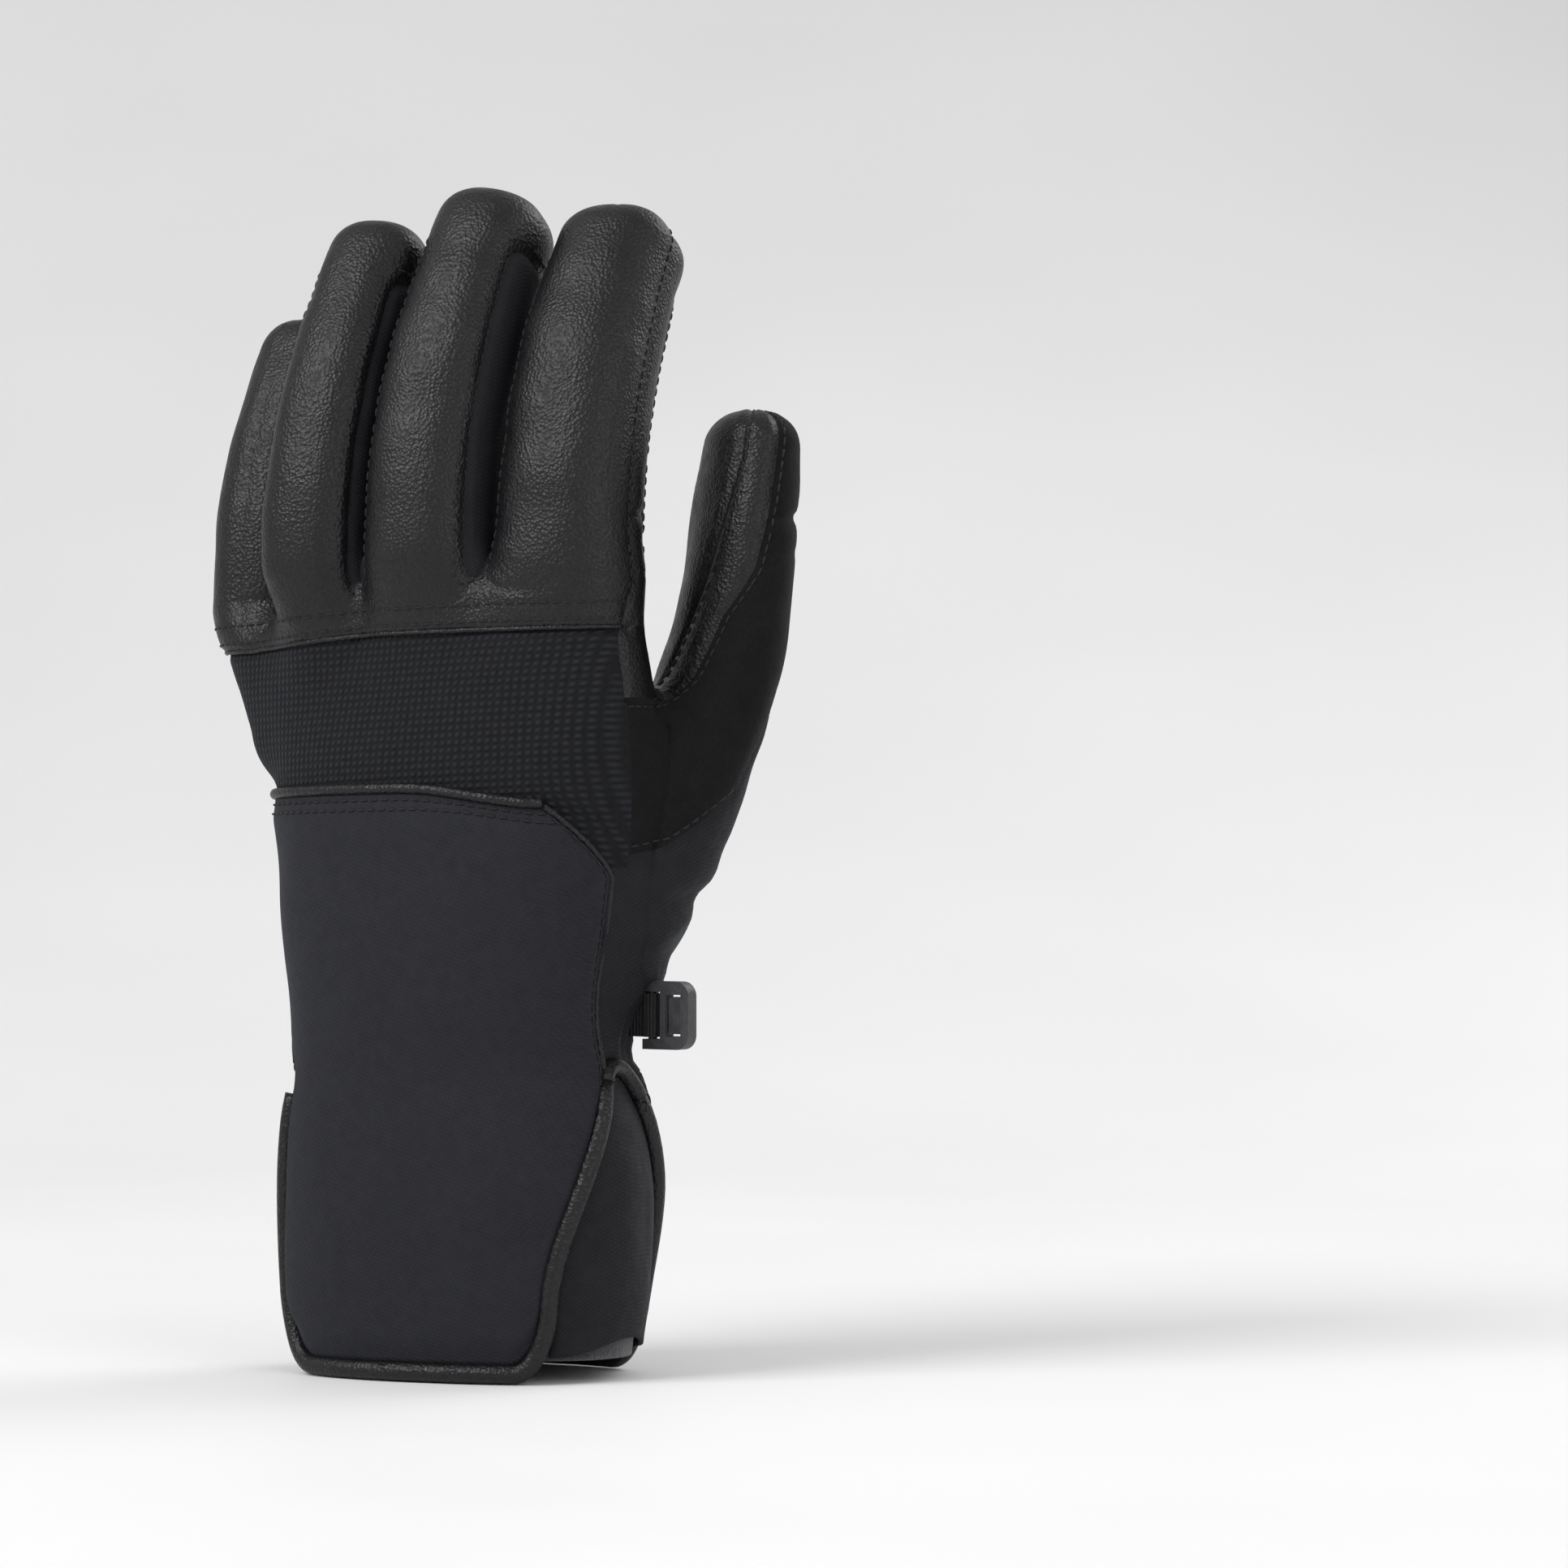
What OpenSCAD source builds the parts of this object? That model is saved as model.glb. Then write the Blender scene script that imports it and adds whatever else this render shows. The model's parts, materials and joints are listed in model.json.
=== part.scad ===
// Left ski glove, standing on the hem of its cuff with the fingers up.
// +Z runs along the fingers, the palm faces +Y and the thumb side is +X.
// The origin is the centre of the cuff's mouth, on the surface that the hem stands on.
// Every fabric or leather panel is a thin patch of one shared surface, so neighbours meet at a seam.

/* [Cuff] */
// Width of the cuff at its widest
cuff_w = 97; // [90:1:104]
// Depth of the cuff, back of hand to palm
cuff_d = 60; // [54:1:66]
// Diameter of the leather piping round the cuff panels
piping_d = 4.6; // [4:0.2:5.6]
// Width of the grosgrain pull strap
strap_w = 10.2; // [8:0.2:12]

/* [Wrist and hand] */
// Height of the wrist bend above the hem
wrist_z = 78; // [76:1:80]
// Width of the gathered wrist
wrist_w = 82; // [78:1:88]
// Width of the hand at the knuckles
hand_w = 119; // [116:1:122]
// Thickness of the leather and softshell panels
shell_t = 1.6; // [1.2:0.1:1.7]
// Width of a seam between two panels
seam = 0.3; // [0.2:0.05:0.5]

/* [Fingers] */
// Height of the crotches between the fingers
crotch_z = 200; // [198:1:202]
// Clear gap across a finger joint
joint_gap = 0.9; // [0.7:0.1:1.4]
// Bend of a knuckle from rest, in degrees
knuckle_bend = 55; // [40:1:60]
// Bend of a middle joint from rest, in degrees
middle_bend = 60; // [40:1:62]
// Thickness of the padded finger linings
lining_t = 2.8; // [2:0.1:3.2]

/* [Clip] */
// Width of the plastic clip
clip_w = 13.6; // [12:0.2:15]
// Height of the plastic clip
clip_h = 16.6; // [15:0.2:18]
// Thickness of the clip's frame
clip_t = 3.6; // [3:0.2:4.4]
// Radius of the clip's bar
bar_r = 1.1; // [0.9:0.05:1.2]

/* [Hidden] */

// Colours
leather = [0.09, 0.09, 0.09];
softshell = [0.10, 0.10, 0.13];
knit = [0.07, 0.07, 0.09];
suede = [0.04, 0.04, 0.04];
webbing = [0.12, 0.12, 0.12];
plastic = [0.17, 0.18, 0.19];
wadding = [0.82, 0.82, 0.80];
film = [0.75, 0.80, 0.85];
fleece = [0.05, 0.05, 0.06];
label_grey = [0.55, 0.58, 0.60];

// Layers, as depths below the outer surface
membrane_in = 2.3;
membrane_t = 0.5;
wadding_in = 3.3;
wadding_t = 1.9;
lining_in = 5.9;
hand_lining_t = 1.0;
sleeve_in = shell_t + 0.8;
thumb_opening = [-28, 68];   // the hand's own panels stop here, where the thumb joins
wrist_bend = [35, 25];       // towards the palm and towards the back

// Sections of the hand and cuff, bottom to top:
// height, centre x, centre y, half width, half depth, turn towards the little finger
sections = [
    [0, 0, 0, cuff_w / 2 - 3, cuff_d / 2 - 2, 0],
    [20, 0, 0, cuff_w / 2 - 0.8, cuff_d / 2 - 0.6, 0],
    [45, 0, 0, cuff_w / 2, cuff_d / 2, 0],
    [62, -1, 0, cuff_w / 2 - 2, cuff_d / 2 - 1, 0],
    [78, -2.5, 0, wrist_w / 2 + 1.5, cuff_d / 2 - 3.5, 1],
    [92, -3, 0, wrist_w / 2 + 0.5, cuff_d / 2 - 4, 2],
    [110, -3, 1, 44.5, 26.5, 3],
    [130, -3, 2, 47.5, 26, 5],
    [150, -4, 3, 51, 25, 7],
    [168, -8, 5, 55, 23, 9],
    [184, -14, 8, hand_w / 2 - 1, 20.5, 10.5],
    [206, -16.5, 10, hand_w / 2, 18, 10.5]];

// How far the thumb's root stands out of the hand, by height
thumb_bulge = [[90, 0], [98, 0], [115, 6], [130, 13], [150, 23], [170, 30], [190, 34]];
bulge_aim = 33;

// Fingers: centre x and y at the crotch, height of the knuckle hinge and of the tip,
// half width, half depth, lean towards the thumb and curl towards the palm at the tip
index_f = [26.6, 0, crotch_z, 283.6, 16.6, 15.5, 4, 30];
middle_f = [-7.9, -5, crotch_z, 288.6, 15, 14.8, 7, 30];
ring_f = [-38.3, -4, crotch_z - 1, 281.6, 13.2, 14, 6, 30];
little_f = [-65, 20, crotch_z - 12, 259, 12.3, 13, 4, 22];
thumb_f = [59.2, 27, crotch_z - 12, 236, 15.2, 15, 3, 8];
tip_r = 14;                  // radius of the domed fingertips
middle_share = 0.47;         // a middle joint's place along the finger
back_bend = [15, 20];        // how far a knuckle and a middle joint straighten

function clamp(v, low, high) = min(high, max(low, v));
function mix(a, b, t) = a + (b - a) * t;
function cubic(a, b, c, d, t) =
    0.5 * (2 * b + (c - a) * t + (2 * a - 5 * b + 4 * c - d) * t * t
        + (3 * b - a - 3 * c + d) * t * t * t);
function interval(rows, z, i = 0) =
    i >= len(rows) - 2 || z < rows[i + 1][0] ? i : interval(rows, z, i + 1);
function section(z) =
    let (i = interval(sections, z), last = len(sections) - 1,
        t = clamp((z - sections[i][0]) / (sections[i + 1][0] - sections[i][0]), 0, 1))
    cubic(sections[max(0, i - 1)], sections[i], sections[i + 1], sections[min(last, i + 2)], t);
function power(v, e) = sign(v) * pow(abs(v), e);

// The hand's surface: turn 0 is the thumb side, 90 the palm, 180 the little finger's side
hand = function (turn, z, depth)
    let (s = section(z), u = (s[3] - depth) * power(cos(turn), 0.86),
        v = (s[4] - depth) * power(sin(turn), 0.86))
    [s[1] + u * cos(s[5]) + v * sin(s[5]), s[2] - u * sin(s[5]) + v * cos(s[5]), z];

// The same surface with the thumb's root standing out of it
thumb_root = function (turn, z, depth)
    let (centre = (thumb_opening[0] + thumb_opening[1]) / 2,
        half = (thumb_opening[1] - thumb_opening[0]) / 2,
        w = pow(cos(90 * clamp((turn - centre) / half, -1, 1)), 2),
        out = max(0, lookup(z, thumb_bulge) - 0.4 * depth) * w)
    hand(turn, z, depth) + out * [cos(bulge_aim), sin(bulge_aim), 0];

// A finger's surface
function finger(f) = function (turn, z, depth)
    let (t = (z - f[2]) / (f[3] - f[2]), r = tip_r - depth,
        d = clamp((f[3] - depth - z) / r, 0, 1),
        cap = sqrt(max(0, 1 - (1 - d) * (1 - d))),
        w = (f[4] * (1 - 0.16 * max(0, t)) - depth) * cap,
        h = (f[5] * (1 - 0.12 * max(0, t)) - depth) * cap)
    [f[0] + f[6] * t * abs(t) + w * cos(turn), f[1] + f[7] * t * abs(t) + h * sin(turn), z];

// A hinge across the glove: y, z, tilt of the finger there, bend and straightening
function knuckle(f) = [f[1] + 2, f[2], 0, knuckle_bend, back_bend[0]];
function middle_joint(f) =
    let (t = middle_share, z = mix(f[2], f[3], t))
    [f[1] + f[7] * t * t, z, atan(2 * f[7] * t / (f[3] - f[2])), middle_bend, back_bend[1]];
wrist = [0, wrist_z, 0, wrist_bend[0], wrist_bend[1]];

// Heights at which a panel ends, just over and just under a hinge, so that it can bend
function over(h) = function (p)
    h[1] + joint_gap / 2 + (p[1] > h[0] ? (p[1] - h[0]) * tan(h[3] / 2 - h[2])
        : (h[0] - p[1]) * tan(h[4] / 2 + h[2]));
function under(h) = function (p)
    h[1] - joint_gap / 2 - (p[1] > h[0] ? min(p[1] - h[0], 16.5) * tan(h[3] / 2 + h[2])
        : (h[0] - p[1]) * tan(h[4] / 2 - h[2]));
function under_wrist() = function (p)
    wrist[1] - joint_gap / 2 - abs(p[1]) * tan((p[1] > 0 ? wrist[3] : wrist[4]) / 2);
function at(z) = function (p) z;

// The hand's upper edge, under whichever finger stands over a point
function hand_top() = function (p)
    p[0] < little_f[0] + little_f[4] + 0.4 ? under(knuckle(little_f))(p)
    : p[0] < ring_f[0] + ring_f[4] + 1 ? under(knuckle(ring_f))(p)
    : p[0] < middle_f[0] + middle_f[4] + 1 ? under(knuckle(middle_f))(p)
    : under(knuckle(index_f))(p);

function reach(form, turn, depth, edge, z, n = 5) =
    n == 0 ? z : reach(form, turn, depth, edge, edge(form(turn, z, depth)), n - 1);
function arc(a, b) = function (v) [a, b];

// A patch of a surface between two turns and two edges, from depth outer to depth inner.
// With wrap it closes on itself into a tube.
module patch(form, turns, low, high, outer, inner, cols, rows, guess, wrap = false) {
    last = wrap ? cols - 1 : cols;
    skin([for (depth = [outer, inner]) for (i = [0:last]) for (j = [0:rows])
        let (v = j / rows, ends = turns(v), turn = mix(ends[0], ends[1], i / cols),
            z0 = reach(form, turn, depth, low, guess[0]),
            z1 = reach(form, turn, depth, high, guess[1]))
        form(turn, mix(z0, z1, v), depth)], cols, rows, wrap);
}

// Closes an outer and an inner grid of points, column by column, into one solid sheet
module skin(points, cols, rows, wrap = false) {
    n = rows + 1;
    under_side = (wrap ? cols : cols + 1) * n;
    function a(i, j) = (wrap ? i % cols : i) * n + j;
    function b(i, j) = a(i, j) + under_side;
    faces = [for (i = [0:cols - 1]) for (j = [0:rows - 1]) each [
        [a(i, j), a(i, j + 1), a(i + 1, j + 1)], [a(i, j), a(i + 1, j + 1), a(i + 1, j)],
        [b(i, j), b(i + 1, j + 1), b(i, j + 1)], [b(i, j), b(i + 1, j), b(i + 1, j + 1)]]];
    ends = [for (i = [0:cols - 1]) each [
        [a(i, 0), a(i + 1, 0), b(i + 1, 0)], [a(i, 0), b(i + 1, 0), b(i, 0)],
        [a(i + 1, rows), a(i, rows), b(i, rows)],
        [a(i + 1, rows), b(i, rows), b(i + 1, rows)]]];
    sides = wrap ? [] : [for (j = [0:rows - 1]) each [
        [a(0, j + 1), a(0, j), b(0, j)], [a(0, j + 1), b(0, j), b(0, j + 1)],
        [a(cols, j), a(cols, j + 1), b(cols, j + 1)], [a(cols, j), b(cols, j + 1), b(cols, j)]]];
    polyhedron(points, concat(faces, ends, sides), convexity = 6);
}

// A round cord along a route of points, each with the direction that faces outwards
module piping(route, r, sides = 8) {
    last = len(route) - 1;
    points = [for (i = [0:last])
        let (p = route[i][0], out = route[i][1],
            along = route[min(last, i + 1)][0] - route[max(0, i - 1)][0],
            side = cross(along, out) / norm(cross(along, out)),
            face = cross(side, along) / norm(cross(side, along)))
        for (k = [0:sides - 1])
            let (angle = (k + 0.5) * 360 / sides) p + r * (cos(angle) * face + sin(angle) * side)];
    wall = [for (i = [0:last - 1]) for (k = [0:sides - 1])
        let (a = i * sides + k, b = i * sides + (k + 1) % sides)
        each [[a, b, b + sides], [a, b + sides, a + sides]]];
    caps = [[for (k = [sides - 1:-1:0]) k], [for (k = [0:sides - 1]) last * sides + k]];
    polyhedron(points, concat(wall, caps), convexity = 6);
}

// The outline of a cuff panel as turns and heights: down one side, along the hem, up the other
corner_turn = 20;
corner_rise = 17;
piping_r = piping_d / 2;
hem_z = piping_r * cos(22.5);
function outline(from, to, top_from, top_to) = concat(
    [for (k = [0:6]) [from, mix(top_from, hem_z + corner_rise, k / 7)]],
    [for (k = [0:5]) [from + sign(to - from) * corner_turn * (1 - cos(k * 18)),
        hem_z + corner_rise * (1 - sin(k * 18))]],
    [for (k = [1:11]) [mix(from + sign(to - from) * corner_turn,
        to - sign(to - from) * corner_turn, k / 12), hem_z]],
    [for (k = [5:-1:0]) [to - sign(to - from) * corner_turn * (1 - cos(k * 18)),
        hem_z + corner_rise * (1 - sin(k * 18))]],
    [for (k = [1:7]) [to, mix(hem_z + corner_rise, top_to, k / 7)]]);

// Where the cuff's two panels lie, as turns round the cuff
back_turns = [206, 334];
palm_turns = [22, 158];
gusset_clear = 5.5;

// On the thumb side both pipings lean together from the hem to the wrist
function back_edge(z) = 309 + 43 * pow(clamp((z - 19) / 58, 0, 1), 1.7);
function palm_edge(z) = 40 - 36 * pow(clamp((z - 17) / 60, 0, 1), 1.3);
function drift(turn, z) =
    turn > 270 ? turn + (turn - 270) / (back_turns[1] - 270) * (back_edge(z) - back_turns[1])
    : turn < 90 ? turn + (90 - turn) / (90 - palm_turns[0]) * (palm_edge(z) - palm_turns[0])
    : turn;
function laid(path, depth) = [for (p = path)
    let (turn = drift(p[0], p[1]), a = hand(turn, p[1], depth), b = hand(turn, p[1], depth - 5)) [a, b - a]];

// The lower edge of a cuff panel, which follows its piping's outline just inside it
panel_inset = 6;               // degrees between a piping's centre and its panel's edge
function panel_low(from, to) = function (turn)
    let (s = clamp((min(abs(turn - from), abs(to - turn)) - panel_inset) / corner_turn, 0, 1))
    hem_z + piping_r + 0.3 + corner_rise * (1 - sqrt(max(0, 1 - (1 - s) * (1 - s))));

// A cuff panel: its lower edge depends on the turn, not on a hinge
module cuff_panel(from, to, high, guess_top, cols, rows) {
    low = panel_low(from, to);
    skin([for (depth = [0, shell_t]) for (i = [0:cols]) for (j = [0:rows])
        let (turn = mix(from + panel_inset, to - panel_inset, i / cols),
            z1 = reach(hand, turn, depth, high, guess_top), z = mix(low(turn), z1, j / rows))
        hand(drift(turn, z), z, depth)], cols, rows);
}

// The thumb side's gusset between the pipings, narrowing to the top
function gusset_arc() = function (v)
    let (z = mix(7, 77, v))
    [min(back_edge(z) - 360 + gusset_clear, -9), max(palm_edge(z) - gusset_clear, 6)];

module back_cuff_panel_lower() {
    color(softshell) cuff_panel(back_turns[0], back_turns[1], under_wrist(), 72, 20, 6);
}

module palm_cuff_panel() {
    color(softshell) cuff_panel(palm_turns[0], palm_turns[1], under_wrist(), 70, 20, 6);
}

module cuff_gussets() {
    color(softshell) {
        patch(hand, gusset_arc(), at(7), under_wrist(), 2.2, 2.2 + shell_t, 8, 8, [7, 72]);
        patch(hand, arc(163.5, 200.5), at(7), under_wrist(), 2.2, 2.2 + shell_t, 6, 6, [7, 72]);
    }
}

module back_panel_piping() {
    color(leather) piping(laid(outline(back_turns[1], back_turns[0], 72, 68), shell_t / 2), piping_r);
}

module palm_panel_piping() {
    color(leather) piping(laid(outline(palm_turns[0], palm_turns[1], 68, 65), shell_t / 2), piping_r);
}

// The strap hangs in a shallow curve, and stands off the palm panel so that a finger goes behind it
strap_off = function (turn, z, depth)
    let (s = (turn - 90) / 52, sag = 12 * (1 - s * s), off = 7 * pow(cos(90 * clamp(s, -1, 1)), 1.2))
    hand(turn, z - sag, depth - off);

module pull_strap() {
    color(webbing) patch(strap_off, arc(46, 140), at(20), at(20 + strap_w), -1.9, -0.5, 20, 2, [20, 30]);
}

module woven_label() {
    color(label_grey) patch(hand, arc(143, 150), at(36), at(60), -1.2, -0.4, 2, 3, [36, 60]);
}

module cuff_lining() {
    color(fleece) patch(hand, arc(0, 360), at(6), under_wrist(), lining_in, lining_in + hand_lining_t,
        36, 3, [6, 70], true);
}

module back_cuff_panel_upper() {
    color(softshell) patch(hand, arc(185, 327), over(wrist), at(140.7), 0, shell_t, 16, 7, [84, 140]);
}

module cuff_welt() {
    color(leather) patch(hand, arc(185, 327), at(141), at(144.6), -1.2, shell_t, 16, 1, [141, 144]);
}

module knit_band() {
    color(knit) patch(hand, arc(185, 327), at(144.9), at(181), 0, shell_t, 16, 4, [145, 181]);
}

module back_yoke() {
    color(leather) {
        patch(hand, arc(185, 331.7), at(181.3), hand_top(), 0, shell_t, 26, 2, [182, 198]);
    }
}

module palm_leather() {
    color(leather) patch(hand, arc(thumb_opening[1] + 0.3, 184.6), over(wrist), hand_top(), 0, shell_t,
        22, 9, [88, 190]);
}

// The seam between the thumb's suede and its softshell climbs from the back round to the palm
function thumb_seam() = function (p) clamp(126 + 1.15 * (p[1] + 12), 122, 176);
thumb_split = 20;

module thumb_base_suede() {
    color(suede) patch(thumb_root, arc(thumb_opening[0] + 0.3, thumb_split),
        thumb_seam(), under(knuckle(thumb_f)), 0, shell_t, 8, 5, [140, 185]);
}

module thumb_base_softshell() {
    color(softshell) {
        patch(thumb_root, arc(thumb_opening[0] + 0.3, thumb_split), over(wrist),
            function (p) thumb_seam()(p) - seam, 0, shell_t, 8, 5, [88, 140]);
        patch(thumb_root, arc(thumb_split + 0.4, thumb_opening[1] - 0.3), over(wrist),
            under(knuckle(thumb_f)), 0, shell_t, 8, 8, [88, 176]);
    }
}

module thumb_strip() {
    color(leather) patch(hand, arc(69, 79), at(100), at(176), -1.7, -0.4, 3, 7, [100, 176]);
}

module thumb_crotch_patch() {
    color(leather) patch(hand, function (v) [82, 82 + 12 * sin(180 * clamp(v, 0.06, 0.94))],
        at(112), at(160), -1.7, -0.4, 3, 8, [112, 160]);
}

module wrist_elastic() {
    color(webbing) patch(hand, arc(75, 165), at(89), at(99), wadding_in, wadding_in + wadding_t,
        14, 1, [89, 99]);
}

module hand_insulation() {
    color(wadding) {
        patch(hand, arc(75, 181), at(101), at(182), wadding_in, wadding_in + wadding_t, 16, 6, [101, 182]);
        patch(hand, arc(184, 326), over(wrist), at(186), wadding_in, wadding_in + wadding_t,
            20, 7, [90, 186]);
    }
}

module waterproof_membrane() {
    color(film) patch(hand, arc(75, 326), at(101), at(182), membrane_in, membrane_in + membrane_t,
        38, 6, [101, 182]);
}

module hand_lining() {
    color(fleece) patch(hand, arc(75, 326), over(wrist), at(182), lining_in, lining_in + hand_lining_t,
        38, 6, [88, 182]);
}

// Lower and upper length of one finger's panel, cut for its two joints
module lower_piece(f, turns, outer, inner, cols, wrap = false) {
    k = knuckle(f);
    m = middle_joint(f);
    patch(finger(f), turns, over(k), under(m), outer, inner, cols, 4, [k[1] + 6, m[1] - 6], wrap);
}

module upper_piece(f, turns, outer, inner, cols, below_tip, rows = 6, wrap = false) {
    m = middle_joint(f);
    patch(finger(f), turns, over(m), at(f[3] - below_tip), outer, inner, cols, rows,
        [m[1] + 6, f[3]], wrap);
}

// The part of a finger's back leather that wraps over the tip
module tip_cap(f, cols) {
    patch(finger(f), arc(0, 360), at(f[3] - cap_h + seam), at(f[3] - shell_t - tip_hole), 0, shell_t,
        cols, 4, [f[3] - cap_h, f[3]], true);
}
cap_h = 17;                  // height of the cap over a fingertip
tip_hole = 0.7;
palm_arc = [28, 152];
side_arc = [152.8, 208];
back_arc = [208.8, 331.2];

module finger_back_lower(f, arcs) {
    color(leather) lower_piece(f, arc(arcs[0], arcs[1]), 0, shell_t, 8);
}

module finger_back_upper(f, arcs) {
    color(leather) {
        upper_piece(f, arc(arcs[0], arcs[1]), 0, shell_t, 8, cap_h);
        tip_cap(f, 16);
    }
}

module finger_palm_lower(f) {
    color(leather) lower_piece(f, arc(palm_arc[0], palm_arc[1]), 0, shell_t, 7);
}

module finger_palm_upper(f) {
    color(leather) upper_piece(f, arc(palm_arc[0], palm_arc[1]), 0, shell_t, 7, cap_h);
}

module finger_sides_lower(f, thumb_side, little_side) {
    color(softshell) {
        if (little_side) lower_piece(f, arc(side_arc[0], side_arc[1]), 0, shell_t, 4);
        if (thumb_side) lower_piece(f, arc(180 - side_arc[1], 180 - side_arc[0]), 0, shell_t, 4);
    }
}

module finger_sides_upper(f, thumb_side, little_side) {
    color(softshell) {
        if (little_side) upper_piece(f, arc(side_arc[0], side_arc[1]), 0, shell_t, 4, cap_h);
        if (thumb_side) upper_piece(f, arc(180 - side_arc[1], 180 - side_arc[0]), 0, shell_t, 4, cap_h);
    }
}

module finger_lining_lower(f) {
    color(fleece) lower_piece(f, arc(0, 360), sleeve_in, sleeve_in + lining_t, 16, true);
}

module finger_lining_upper(f) {
    color(fleece) upper_piece(f, arc(0, 360), sleeve_in, sleeve_in + lining_t, 16,
        sleeve_in + lining_t + tip_hole, 8, true);
}

// The outer side of the index and of the little finger has no softshell: the back leather goes round
index_arcs = [208.8, 387.2];
little_arcs = [152.8, 331.2];

module thumb_shell_lower() {
    color(leather) lower_piece(thumb_f, arc(75, 285), 0, shell_t, 10);
    color(suede) lower_piece(thumb_f, arc(285.8, 434.2), 0, shell_t, 8);
}

module thumb_shell_upper() {
    color(leather) upper_piece(thumb_f, arc(75, 285), 0, shell_t, 10, shell_t + tip_hole);
    color(suede) upper_piece(thumb_f, arc(285.8, 434.2), 0, shell_t, 8, shell_t + tip_hole);
}

// The clip hangs on a webbing tab at the thumb side of the wrist; it is drawn lying in XZ
clip_place = [44, 7, 88];
clip_turn = -12;
bar_x = 1.9;                 // the bar's centre, from the clip's inner edge
slot_x = 5.2;                // far edge of the slot that the webbing goes through
corner_r = 3.6;
bar_clear = 0.08;
tongue_root = 6.8;
clip_rim = 2.3;              // the frame's rim beyond the tongue
tongue_side = 6.4;           // the rims above and below the tongue, together
tongue_gap = 0.45;           // play round the tongue
tongue_low = 2.3;            // how far the tongue stands out on one face
tongue_t = 3.2;
module placed_clip() {
    translate(clip_place) rotate([0, 0, clip_turn]) children();
}

module clip_outline() {
    translate([0, -clip_h / 2]) square([clip_w - corner_r, clip_h]);
    translate([corner_r, -clip_h / 2 + corner_r]) square([clip_w - corner_r, clip_h - 2 * corner_r]);
    for (s = [-1, 1]) translate([clip_w - corner_r, s * (clip_h / 2 - corner_r)]) circle(corner_r, $fn = 32);
}

module window(x0, x1, h) {
    translate([x0, -h / 2]) square([x1 - x0, h]);
}

module clip_frame() {
    color(plastic) placed_clip() rotate([90, 0, 0]) {
        translate([0, 0, -clip_t / 2]) linear_extrude(clip_t) difference() {
            clip_outline();
            window(-1, slot_x, clip_h - 5);
            window(tongue_root, clip_w - clip_rim, clip_h - tongue_side);
        }
        translate([bar_x, -clip_h / 2 + 2, 0]) rotate([-90, 0, 0]) cylinder(r = bar_r, h = clip_h - 4, $fn = 24);
    }
}

module clip_tongue() {
    color(plastic) placed_clip() rotate([90, 0, 0]) {
        translate([tongue_root + tongue_gap, -(clip_h - 7.6) / 2, -tongue_low])
            cube([clip_w - clip_rim - tongue_root - 2 * tongue_gap, clip_h - 7.6, tongue_t]);
    }
}

// Webbing folded round the clip's bar and sewn to the wrist
module clip_tab() {
    tab_h = clip_h - 6;
    tab_l = 6.2;
    color(webbing) placed_clip() difference() {
        union() {
            translate([bar_x, 0, -tab_h / 2]) cylinder(r = bar_r + 1.3, h = tab_h, $fn = 32);
            translate([bar_x - tab_l, -1.2, -tab_h / 2]) cube([tab_l, 2.4, tab_h]);
        }
        translate([bar_x, 0, -tab_h / 2 - 1]) cylinder(r = bar_r + bar_clear, h = tab_h + 2, $fn = 32);
    }
}

back_cuff_panel_lower();
palm_cuff_panel();
cuff_gussets();
back_panel_piping();
palm_panel_piping();
pull_strap();
woven_label();
cuff_lining();
back_cuff_panel_upper();
cuff_welt();
knit_band();
back_yoke();
palm_leather();
thumb_base_suede();
thumb_base_softshell();
thumb_strip();
thumb_crotch_patch();
wrist_elastic();
hand_insulation();
waterproof_membrane();
hand_lining();
clip_tab();
clip_frame();
clip_tongue();
finger_back_lower(index_f, index_arcs);  // index_back_lower
finger_palm_lower(index_f);  // index_palm_lower
finger_sides_lower(index_f, false, true);  // index_fourchette_lower
finger_lining_lower(index_f);  // index_lining_lower
finger_back_upper(index_f, index_arcs);  // index_back_upper
finger_palm_upper(index_f);  // index_palm_upper
finger_sides_upper(index_f, false, true);  // index_fourchette_upper
finger_lining_upper(index_f);  // index_lining_upper
finger_back_lower(middle_f, back_arc);  // middle_back_lower
finger_palm_lower(middle_f);  // middle_palm_lower
finger_sides_lower(middle_f, true, true);  // middle_fourchette_lower
finger_lining_lower(middle_f);  // middle_lining_lower
finger_back_upper(middle_f, back_arc);  // middle_back_upper
finger_palm_upper(middle_f);  // middle_palm_upper
finger_sides_upper(middle_f, true, true);  // middle_fourchette_upper
finger_lining_upper(middle_f);  // middle_lining_upper
finger_back_lower(ring_f, back_arc);  // ring_back_lower
finger_palm_lower(ring_f);  // ring_palm_lower
finger_sides_lower(ring_f, true, true);  // ring_fourchette_lower
finger_lining_lower(ring_f);  // ring_lining_lower
finger_back_upper(ring_f, back_arc);  // ring_back_upper
finger_palm_upper(ring_f);  // ring_palm_upper
finger_sides_upper(ring_f, true, true);  // ring_fourchette_upper
finger_lining_upper(ring_f);  // ring_lining_upper
finger_back_lower(little_f, little_arcs);  // little_back_lower
finger_palm_lower(little_f);  // little_palm_lower
finger_sides_lower(little_f, true, false);  // little_fourchette_lower
finger_lining_lower(little_f);  // little_lining_lower
finger_back_upper(little_f, little_arcs);  // little_back_upper
finger_palm_upper(little_f);  // little_palm_upper
finger_sides_upper(little_f, true, false);  // little_fourchette_upper
finger_lining_upper(little_f);  // little_lining_upper
thumb_shell_lower();
finger_lining_lower(thumb_f);  // thumb_lining_lower
thumb_shell_upper();
finger_lining_upper(thumb_f);  // thumb_lining_upper
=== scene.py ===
# Left ski glove: leather, softshell and knit skins cut from one smooth body, round a jointed frame.
import json
import math

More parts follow.
